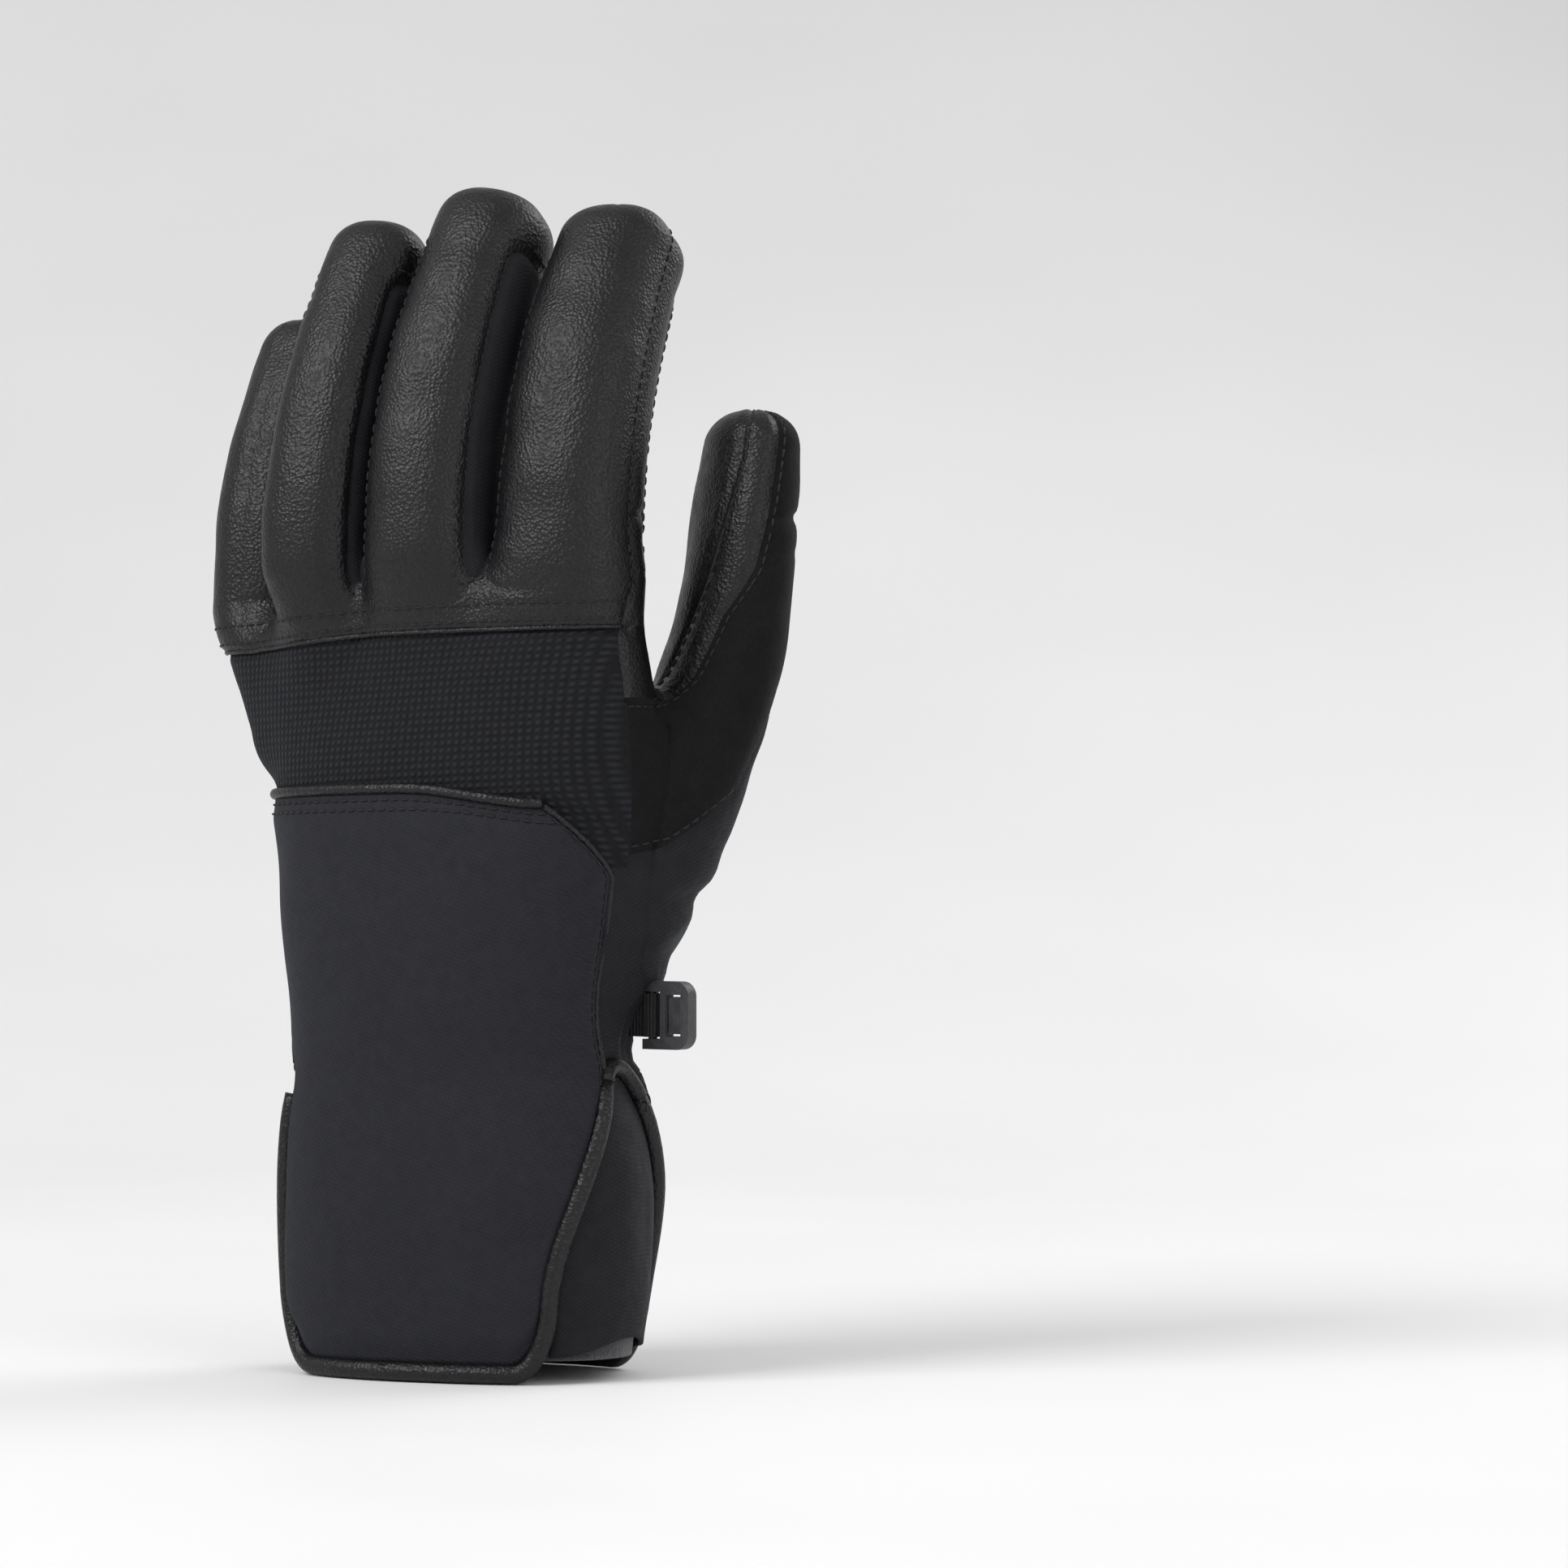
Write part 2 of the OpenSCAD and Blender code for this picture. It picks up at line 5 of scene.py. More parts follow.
import bpy
import numpy as np
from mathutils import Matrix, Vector


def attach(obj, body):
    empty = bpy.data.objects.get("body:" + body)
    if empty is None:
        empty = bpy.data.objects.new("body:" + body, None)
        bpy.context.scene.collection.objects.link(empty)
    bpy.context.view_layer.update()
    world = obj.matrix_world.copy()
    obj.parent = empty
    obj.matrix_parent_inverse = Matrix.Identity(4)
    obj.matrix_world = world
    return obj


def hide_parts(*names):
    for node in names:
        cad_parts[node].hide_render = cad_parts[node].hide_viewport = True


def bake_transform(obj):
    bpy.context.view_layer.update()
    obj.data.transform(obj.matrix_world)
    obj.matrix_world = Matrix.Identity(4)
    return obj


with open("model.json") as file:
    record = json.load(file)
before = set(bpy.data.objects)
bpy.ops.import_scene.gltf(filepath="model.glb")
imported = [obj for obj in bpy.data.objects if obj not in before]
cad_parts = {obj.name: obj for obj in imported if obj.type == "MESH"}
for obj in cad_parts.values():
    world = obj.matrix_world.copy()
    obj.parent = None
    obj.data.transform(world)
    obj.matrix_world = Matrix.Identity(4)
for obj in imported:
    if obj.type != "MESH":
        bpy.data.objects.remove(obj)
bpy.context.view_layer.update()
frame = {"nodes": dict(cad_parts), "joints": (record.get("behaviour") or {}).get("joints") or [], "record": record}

# ---------------------------------------------------------------- driving numbers (millimetres)
JOINTS = {j["name"]: np.array(j.get("pos_m", (0, 0, 0))) * 1000 for j in frame["joints"]}
GRID = 1.25                      # spacing of the net that the skin is made on
HAND_POWER = 2.35                # squareness of the hand's section in the skin's surface
PANEL_POWER = 0.86               # and the same for the cuff's panels, as a power of the cosine
# name: half width, half depth, lean to the thumb, curl to the palm, height of the tip
FINGERS = {
    "index": (16.4, 15.0, 4.0, 30.0, 284.5),
    "middle": (15.0, 14.6, 7.0, 30.0, 289.5),
    "ring": (13.2, 13.8, 6.0, 30.0, 282.5),
    "little": (12.4, 13.0, 4.0, 22.0, 260.0),
}
NAMES = list(FINGERS)
# height, centre x, centre y, half width, half depth, turn towards the little finger
SECTIONS = np.array([
    [0, 0, 0, 45.5, 28.0, 0], [20, 0, 0, 47.7, 29.4, 0], [45, 0, 0, 48.5, 30.0, 0],
    [62, -1, 0, 46.5, 29.0, 0], [78, -2.5, 0, 42.0, 26.5, 1], [92, -3, 0, 41.5, 26.0, 2],
    [110, -3, 1, 44.5, 26.5, 3], [130, -3, 2, 47.5, 26.0, 5], [150, -4, 3, 51.0, 25.0, 7],
    [168, -8, 5, 55.0, 23.0, 9], [184, -14, 8, 58.5, 20.5, 10.5], [206, -16.5, 10, 59.5, 18.0, 10.5]])
THUMB_LINE = np.array([[30, 15, 108], [40, 20, 130], [49, 24, 152], [56, 26.5, 174], [59.2, 27.5, 190],
                       [60.6, 29, 208], [61.6, 31.5, 226.5]], float)
THUMB_HALF = np.array([[17, 12], [19, 12.5], [19.5, 12.5], [18.5, 12], [17.6, 11], [17.2, 10.4],
                       [15.2, 9.6]])
THUMB_TURN = math.radians(-45)


def smooth(a, b, x):
    t = np.clip((x - a) / (b - a), 0, 1)
    return t * t * (3 - 2 * t)


def band(x, start, full, fall, end):
    """Rises to one from start to full, and falls back to zero from fall to end."""
    return smooth(start, full, x) * (1 - smooth(fall, end, x))


def bell(x, width):
    return np.exp(-(x / width) ** 2)


def smin(a, b, k):
    h = np.maximum(k - np.abs(a - b), 0) / k
    return np.minimum(a, b) - h * h * k / 4


def smax(a, b, k):
    return -smin(-a, -b, k)


def catmull(rows, x):
    """Smooth interpolation of a table's columns at x, which runs along its first column."""
    xs = rows[:, 0]
    i = np.clip(np.searchsorted(xs, x, side="right") - 1, 0, len(xs) - 2)
    t = np.clip((x - xs[i]) / (xs[i + 1] - xs[i]), 0, 1)[..., None]
    a, b = rows[np.maximum(i - 1, 0)], rows[i]
    c, d = rows[i + 1], rows[np.minimum(i + 2, len(xs) - 1)]
    return 0.5 * (2 * b + (c - a) * t + (2 * a - 5 * b + 4 * c - d) * t * t
                  + (3 * b - a - 3 * c + d) * t ** 3)


def hand_frame(p):
    """A point's place in the hand's section: u and v across and deep, a and b their half sizes."""
    s = catmull(SECTIONS, p[:, 2])
    c, w = np.cos(np.radians(s[:, 5])), np.sin(np.radians(s[:, 5]))
    x, y = p[:, 0] - s[:, 1], p[:, 1] - s[:, 2]
    return x * c - y * w, x * w + y * c, s[:, 3], s[:, 4]


def section_distance(u, v, a, b, n):
    """About the distance from a superellipse of half sizes a and b."""
    u, v = np.abs(u) + 1e-6, np.abs(v) + 1e-6
    rho = ((u / a) ** n + (v / b) ** n) ** (1 / n)
    slope = rho ** (1 - n) * np.hypot(u ** (n - 1) / a ** n, v ** (n - 1) / b ** n)
    return (rho - 1) / slope


class Limb:
    """A finger or the thumb: a line of centres with an oval section that turns with it."""

    def __init__(self, centres, halves, sides, dome, power):
        self.centres, self.halves, self.dome, self.power = centres, halves, dome, power
        along = np.gradient(centres, axis=0)
        self.along = along / np.linalg.norm(along, axis=1)[:, None]
        side = sides - (sides * self.along).sum(1)[:, None] * self.along
        self.side = side / np.linalg.norm(side, axis=1)[:, None]
        self.deep = np.cross(self.along, self.side)
        self.lo = centres.min(0) - 34
        self.hi = centres.max(0) + 34
        steps = np.linalg.norm(np.diff(centres, axis=0), axis=1)
        self.length = np.concatenate([[0], np.cumsum(steps)])

    def local(self, p):
        """Across, deep and beyond-the-end places of points, the half sizes there, and the way along."""
        d2 = ((p[:, None, :] - self.centres[None]) ** 2).sum(2)
        k = d2.argmin(1)
        last = len(self.centres) - 1
        q = p - self.centres[k]
        s = (q * self.along[k]).sum(1)
        step = self.length[1]
        f = np.clip(k + s / step, 0, last)
        i = np.minimum(f.astype(int), last - 1)
        t = (f - i)[:, None]
        mixed = lambda rows: rows[i] * (1 - t) + rows[i + 1] * t
        q = p - mixed(self.centres)
        half = mixed(self.halves)
        return ((q * mixed(self.side)).sum(1), (q * mixed(self.deep)).sum(1),
                (q * mixed(self.along)).sum(1), half[:, 0], half[:, 1], f * step)

    def distance(self, p):
        out = np.full(len(p), 40.0)
        near = ((p > self.lo) & (p < self.hi)).all(1)
        if near.any():
            u, v, w, a, b, _ = self.local(p[near])
            flat = section_distance(u, v, a, b, self.power)
            n, end = self.power, self.dome
            u, v, w = np.abs(u) + 1e-6, np.abs(v) + 1e-6, np.abs(w) + 1e-6
            rho = ((u / a) ** n + (v / b) ** n + (w / end) ** n) ** (1 / n)
            parts = ((u ** (n - 1) / a ** n) ** 2 + (v ** (n - 1) / b ** n) ** 2
                     + (w ** (n - 1) / end ** n) ** 2)
            slope = rho ** (1 - n) * np.sqrt(parts)
            out[near] = np.where(w > 1e-3, (rho - 1) / slope, flat)
        return out


def finger_limb(name):
    half_w, half_d, lean, curl, tip = FINGERS[name]
    base = JOINTS[name + "_knuckle"] - (0, 2, 0)
    t = np.linspace(-0.42, 1, 72)
    end = 1 - 10.5 / (tip - base[2])
    t = t[t <= end]
    t = np.linspace(t[0], end, 64)
    bend = np.maximum(t, 0) ** 2
    inward = np.minimum(t, 0)
    centres = np.stack([base[0] + lean * bend + inward * (base[0] + 16) * 0.5,
                        base[1] + curl * bend + inward * (base[1] - 6) * 1.9,
                        base[2] + t * (tip - base[2])], 1)
    taper = 1 - 0.15 * np.clip(t, 0, 1) + 0.04 * np.sin(np.clip(t, 0, 1) * math.pi) + inward
    halves = np.stack([half_w * taper, half_d * (taper + 0.02)], 1)
    sides = np.tile([1.0, 0, 0], (len(t), 1))
    return Limb(centres, halves, sides, 10.5, 2.5)


def thumb_limb():
    t = np.linspace(0, len(THUMB_LINE) - 1, 60)
    rows = np.column_stack([np.arange(len(THUMB_LINE)), THUMB_LINE, THUMB_HALF])
    smoothed = catmull(rows, t)
    sides = np.tile([math.cos(THUMB_TURN), math.sin(THUMB_TURN), 0], (len(t), 1))
    return Limb(smoothed[:, 1:4], smoothed[:, 4:6], sides, 9.5, 2.25)


LIMBS = {name: finger_limb(name) for name in NAMES}
LIMBS["thumb"] = thumb_limb()


def crotch_height(x):
    """The height of the webs between the fingers, along the hand."""
    return np.interp(x, [-60, -52, -25, 9, 40], [184, 186.5, 196.5, 198.5, 197])


def glove_distance(p):
    """Distance from the glove's smooth outer form, negative inside."""
    u, v, a, b = hand_frame(p)
    hand = section_distance(u, v, a, b, HAND_POWER)
    z = p[:, 2]
    hand = smax(hand, z - crotch_height(p[:, 0]) + 1.0, 9)
    ds = [LIMBS[n].distance(p) for n in NAMES]
    k = 0.4 + 4.5 * (1 - smooth(196, 212, z + np.interp(p[:, 0], [-56, -48], [12, 0])))
    fingers = ds[0]
    for d in ds[1:]:
        fingers = smin(fingers, d, k)
    body = smin(hand, fingers, 9)
    thumb = LIMBS["thumb"].distance(p)
    return smin(body, thumb, 5 + 20 * (1 - smooth(140, 186, z)))


def gradient(f, p, h=0.25):
    g = np.empty_like(p)
    for i in range(3):
        e = np.zeros(3)
        e[i] = h
        g[:, i] = (f(p + e) - f(p - e)) / (2 * h)
    return g


def surface_net(f, low, high, h):
    """A quad net on f = 0 inside a box."""
    axes = [np.arange(low[i], high[i] + h, h) for i in range(3)]
    shape = tuple(len(a) for a in axes)
    values = np.empty(shape, np.float64)
    for k in range(0, shape[2], 12):
        z = axes[2][k:k + 12]
        mesh = np.stack(np.meshgrid(axes[0], axes[1], z, indexing="ij"), -1).reshape(-1, 3)
        values[:, :, k:k + 12] = f(mesh).reshape(shape[0], shape[1], len(z))
    cells = tuple(n - 1 for n in shape)
    total = np.zeros((4, int(np.prod(cells))))
    faces = []
    for axis in range(3):
        one = [slice(None)] * 3
        two = [slice(None)] * 3
        one[axis], two[axis] = slice(None, -1), slice(1, None)
        a, b = values[tuple(one)], values[tuple(two)]
        at = np.argwhere((a < 0) != (b < 0))
        va, vb = a[tuple(at.T)], b[tuple(at.T)]
        place = at.astype(float)
        place[:, axis] += va / (va - vb)
        p, q = (axis + 1) % 3, (axis + 2) % 3
        ok = (at[:, p] > 0) & (at[:, q] > 0) & (at[:, p] < cells[p]) & (at[:, q] < cells[q])
        at, place, va = at[ok], place[ok], va[ok]
        around = []
        for dp, dq in ((0, 0), (-1, 0), (-1, -1), (0, -1)):
            c = at.copy()
            c[:, p] += dp
            c[:, q] += dq
            flat = np.ravel_multi_index(tuple(c.T), cells)
            around.append(flat)
            for i in range(3):
                total[i] += np.bincount(flat, place[:, i], minlength=total.shape[1])
            total[3] += np.bincount(flat, minlength=total.shape[1])
        quad = np.stack(around, 1)
        quad[va >= 0] = quad[va >= 0][:, ::-1]
        faces.append(quad)
    faces = np.concatenate(faces)
    used = np.unique(faces)
    index = np.full(total.shape[1], -1)
    index[used] = np.arange(len(used))
    points = (total[:3, used] / total[3, used]).T * h + np.array(low)
    return points, index[faces]


# ---------------------------------------------------------------- where the panels meet
# Seams on the hand and the thumb, as tables against height
PALM_STRIP_LEFT = np.array([[60, 0], [97, 2], [117, 10.4], [147, 21.5], [177, 29.8], [190, 33],
                            [206, 38]])
PALM_STRIP_RIGHT = np.array([[60, 12], [87, 12.5], [107, 14.5], [127, 21], [157, 29.8], [181, 33.5],
                             [206, 40]])
SUEDE_EDGE = np.array([[120, -150], [150, -150], [156, -110], [162, -76], [170, -55], [185, -44],
                       [197, -16], [210, -5], [229, 4]])
THUMB_STRIP = np.array([[165, -100], [171, -95], [197, -69], [225, -44]])
SUEDE_FOOT = np.array([[-110, 121], [-65, 124], [-20, 129], [30, 142], [70, 170], [166, 192]])
STRIP_TOP = 206                  # where the palm's strips end, below the fingers
SIDE_SIN = 0.47                  # the finger seams, as the sine of their turn from the side
MM_PER_SIN = 15.0
MM_PER_DEGREE = 0.24
FIELDS = ["palm", "side", "hem", "finger", "middle_cut", "thumb_cut", "thumb_middle", "strip_left",
          "strip_right", "suede", "thumb_strip", "knit_foot", "wrist", "thumb_side", "leaf"]
COL = {name: i for i, name in enumerate(FIELDS)}
BELOW_TIP = len(FIELDS)          # further columns: millimetres below the tip, backness, nearest limb
BACKNESS = BELOW_TIP + 1
OUTER = BELOW_TIP + 2


def table(rows, x):
    return np.interp(x, rows[:, 0], rows[:, 1])


def blend_planes():
    """For each finger and the thumb: start and end points of its two bends."""
    planes = {}
    for name in NAMES + ["thumb"]:
        low = JOINTS["thumb_base" if name == "thumb" else name + "_knuckle"]
        mid = JOINTS["thumb_tip" if name == "thumb" else name + "_middle_joint"]
        limb = LIMBS[name]
        i = np.abs(limb.centres[:, 2] - mid[2]).argmin()
        along = limb.along[i]
        reach = (5, 6.5) if name == "thumb" else (12.5, 13)
        lift = 5 if name == "thumb" else 4
        start = np.array([low[0], low[1], low[2] + lift])
        up = np.array([0, 0, 1.0])
        if name == "thumb":
            up = limb.along[np.abs(limb.centres[:, 2] - start[2]).argmin()]
        cut = mid - along * reach[0]
        length = (cut - start) @ up - (1.5 if name == "thumb" else 4)
        planes[name] = {"low": (start, start + up * length), "high": (cut, mid + along * reach[1])}
    return planes


PLANES = blend_planes()


def seam_fields(p):
    """Every seam as a field that is zero on it, in about millimetres, one column each."""
    z = p[:, 2]
    u, v, a, b = hand_frame(p)
    turn = np.arctan2(v / b, u / a)
    crotch = np.interp(p[:, 0], [-57, -50], [JOINTS["little_knuckle"][2], 200])
    on_hand = 1 - smooth(crotch - 20, crotch - 4, z) + 1e-5
    hand_d = section_distance(u, v, a, b, HAND_POWER)
    weight = [on_hand * np.exp(-np.abs(hand_d) / 3)]
    sine = [np.sin(turn)]
    across = [np.cos(turn)]
    below = [np.full(len(p), 80.0)]
    for name in NAMES:
        limb = LIMBS[name]
        lu, lv, lw, la, lb, s = limb.local(p)
        d = limb.distance(p)
        size = np.hypot(lu / la, lv / lb) + 1e-6
        weight.append(np.exp(-np.maximum(d, 0) / 1.3) * smooth(crotch - 26, crotch - 6, z) + 1e-9)
        sine.append(lv / lb / size)
        across.append(lu / la / size)
        below.append(limb.length[-1] - s + limb.dome - np.maximum(lw, 0))
    weight, sine, across, below = map(np.array, (weight, sine, across, below))
    share = weight / weight.sum(0)
    backness = (share * sine).sum(0)
    below_tip = (share * below).sum(0)
    thumb_side = smooth(0.05, 0.4, share[0] * across[0] + share[1] * across[1])
    little_side = smooth(0.05, 0.4, -share[0] * across[0] - share[4] * across[4])
    tlu, tlv, tlw, tla, tlb, ts = LIMBS["thumb"].local(p)
    thumb_turn = np.degrees(np.arctan2(tlv / tlb, tlu / tla))
    thumb_turn = np.where(thumb_turn < -125, thumb_turn + 360, thumb_turn)
    thumb_tip = LIMBS["thumb"].length[-1] - ts + LIMBS["thumb"].dome - np.maximum(tlw, 0)

    f = {}
    hand_low = 1 - smooth(176, 188, z)
    palm_sine = SIDE_SIN * (1 - little_side) + little_side * 0.30 * (1 - hand_low)
    palm = (backness - palm_sine) * MM_PER_SIN
    f["palm"] = smin(palm, below_tip - 12, 9)
    back_sine = SIDE_SIN * (1 - thumb_side) + (0.12 + 0.09 * hand_low) * thumb_side
    facing = smooth(0.2, 0.8, (share * across).sum(0)) * (1 - thumb_side)
    back_sine = back_sine * (1 - little_side) - 0.75 * little_side + 0.16 * facing
    side_tip = 18 * (1 - thumb_side) + 2.5 * thumb_side
    f["side"] = smin((backness + back_sine) * MM_PER_SIN, below_tip - side_tip, 5)
    f["hem"] = z - np.interp(p[:, 0], [-60, -20, 45], [177.2, 180.8, 182.4])
    roots = [PLANES["little"]["low"][0][2], PLANES["ring"]["low"][0][2]]
    f["finger"] = z - np.interp(p[:, 0], [-53.2, -52], roots)
    nearest = weight[1:].argmax(0)
    mids = np.array([PLANES[n]["high"][0] for n in NAMES])[nearest]
    ways = np.array([PLANES[n]["high"][1] - PLANES[n]["high"][0] for n in NAMES])[nearest]
    ways = ways / np.linalg.norm(ways, axis=1)[:, None]
    f["middle_cut"] = ((p - mids) * ways).sum(1)
    for key, which in (("thumb_cut", "low"), ("thumb_middle", "high")):
        start, end = PLANES["thumb"][which]
        way = (end - start) / np.linalg.norm(end - start)
        f[key] = (p - start) @ way
    f["strip_left"] = p[:, 0] - table(PALM_STRIP_LEFT, z)
    f["strip_right"] = p[:, 0] - table(PALM_STRIP_RIGHT, z)
    foot = (z - table(SUEDE_FOOT, thumb_turn)) * 0.8
    edge = (thumb_turn - table(SUEDE_EDGE, z)) * MM_PER_DEGREE
    rim = (168 - thumb_turn) * MM_PER_DEGREE
    f["suede"] = smin(smin(foot, edge, 1.5), smin(rim, thumb_tip - 4, 7), 3)
    f["thumb_strip"] = (thumb_turn - table(THUMB_STRIP, z)) * MM_PER_DEGREE
    f["knit_foot"] = z - np.interp(p[:, 0], [-10, 10], [142, 124])
    f["wrist"] = z - 64
    thumb_d = LIMBS["thumb"].distance(p)
    others = np.minimum(LIMBS["index"].distance(p), hand_d)
    f["thumb_side"] = np.clip(others - thumb_d, -9, 9)
    leaf_x, leaf_z = p[:, 0] - np.interp(z, [108, 130, 160], [1.5, 5.5, 20.5]), z - 134
    f["leaf"] = 5.4 * (1 - (leaf_z / 26) ** 2) - np.abs(leaf_x)
    columns = [f[name] for name in FIELDS] + [below_tip, backness, thumb_side - little_side]
    return np.column_stack(columns)


def cut_edges(faces, sign):
    """Triangles whose corners differ in sign, their lone corner first, and the edges between signs."""
    count = sign[faces].sum(1)
    mixed = np.flatnonzero(count % 3)
    tri = faces[mixed]
    rows = np.arange(len(tri))
    alone = np.argmax(sign[tri] == (count[mixed] == 1)[:, None], axis=1)
    v0, v1, v2 = (tri[rows, (alone + k) % 3] for k in range(3))
    edges = np.sort(np.concatenate([np.stack([v0, v1], 1), np.stack([v0, v2], 1)]), axis=1)
    unique, back = np.unique(edges, axis=0, return_inverse=True)
    return mixed, (v0, v1, v2), unique, back.reshape(-1)


def split_along(points, data, faces, column):
    """Cuts a triangle mesh where a data column is zero; points and data run on to the new corners."""
    f = data[:, column]
    mixed, (v0, v1, v2), edges, back = cut_edges(faces, f > 0)
    if not len(mixed):
        return points, data, faces
    fa, fb = f[edges[:, 0]], f[edges[:, 1]]
    t = np.clip(fa / (fa - fb), 0.02, 0.98)[:, None]
    new_points = points[edges[:, 0]] * (1 - t) + points[edges[:, 1]] * t
    new_data = data[edges[:, 0]] * (1 - t) + data[edges[:, 1]] * t
    new_data[:, column] = 0
    p, q = back.reshape(2, -1) + len(points)
    made = [np.stack([v0, p, q], 1), np.stack([p, v1, v2], 1), np.stack([p, v2, q], 1)]
    points, data = np.concatenate([points, new_points]), np.concatenate([data, new_data])
    return points, data, np.concatenate([np.delete(faces, mixed, axis=0)] + made)


def noise(p, size, seed):
    """Smooth value noise between -1 and 1, on a lattice of the given size."""
    q = p / size + seed * 17.31
    i = np.floor(q).astype(np.int64)
    t = q - i
    t = t * t * (3 - 2 * t)
    total = np.zeros(len(p))
    for dx in (0, 1):
        for dy in (0, 1):
            for dz in (0, 1):
                c = i + (dx, dy, dz)
                h = (c[:, 0] * 73856093) ^ (c[:, 1] * 19349663) ^ (c[:, 2] * 83492791) ^ (seed * 2654435)
                h = (h ^ (h >> 13)) * 1274126177
                value = ((h ^ (h >> 16)) & 0xFFFF) / 32767.5 - 1
                w = (t[:, 0] if dx else 1 - t[:, 0]) * (t[:, 1] if dy else 1 - t[:, 1])
                total += value * w * (t[:, 2] if dz else 1 - t[:, 2])
    return total


def vertex_normals(points, faces):
    a, b, c = points[faces[:, 0]], points[faces[:, 1]], points[faces[:, 2]]
    n = np.cross(b - a, c - a)
    total = np.zeros_like(points)
    for i in range(3):
        for k in range(3):
            total[:, k] += np.bincount(faces[:, i], n[:, k], minlength=len(points))
    return total / np.maximum(np.linalg.norm(total, axis=1), 1e-9)[:, None]


def body_mesh():
    """The glove's skin above the cuff as triangles, cut along every seam."""
    points, quads = surface_net(glove_distance, (-88, -40, 56), (84, 62, 296), GRID)
    for _ in range(2):
        g = gradient(glove_distance, points)
        d = glove_distance(points)
        points = points - (d / np.maximum((g ** 2).sum(1), 0.3))[:, None] * g
    faces = np.concatenate([quads[:, [0, 1, 2]], quads[:, [0, 2, 3]]])
    fields = seam_fields(points)
    slopes = np.zeros((len(points), len(FIELDS)))
    h = 0.4
    for i in range(3):
        step = np.zeros(3)
        step[i] = h
        diff = (seam_fields(points + step) - seam_fields(points - step))[:, :len(FIELDS)] / (2 * h)
        slopes += diff ** 2
    slopes = np.sqrt(slopes)
    data = np.concatenate([fields, slopes], 1)
    for name in FIELDS:
        points, data, faces = split_along(points, data, faces, COL[name])
    fields, slopes = data[:, :len(FIELDS) + 3], data[:, len(FIELDS) + 3:]
    distances = np.abs(fields[:, :len(FIELDS)]) / np.maximum(slopes, 0.35)
    return points, faces, fields, distances


# ---------------------------------------------------------------- the skin: relief and regions
def groove(distance, width, depth):
    """A stitched seam: the skin dips to it over a width."""
    return -depth * bell(distance, width)


def hand_turn(points):
    """The turn round the hand, 0 to 360 degrees, as on_hand takes it."""
    u, v, a, b = hand_frame(points)
    rise = np.sign(v) * np.abs(v / b) ** (1 / PANEL_POWER)
    run = np.sign(u) * np.abs(u / a) ** (1 / PANEL_POWER)
    return np.degrees(np.arctan2(rise, run)) % 360


def patch_lean(z):
    """How far, in degrees, the back patch's thumb side corner is cut away at a height."""
    return 38 * np.clip((z - 122) / 19, 0, 1) ** 1.1


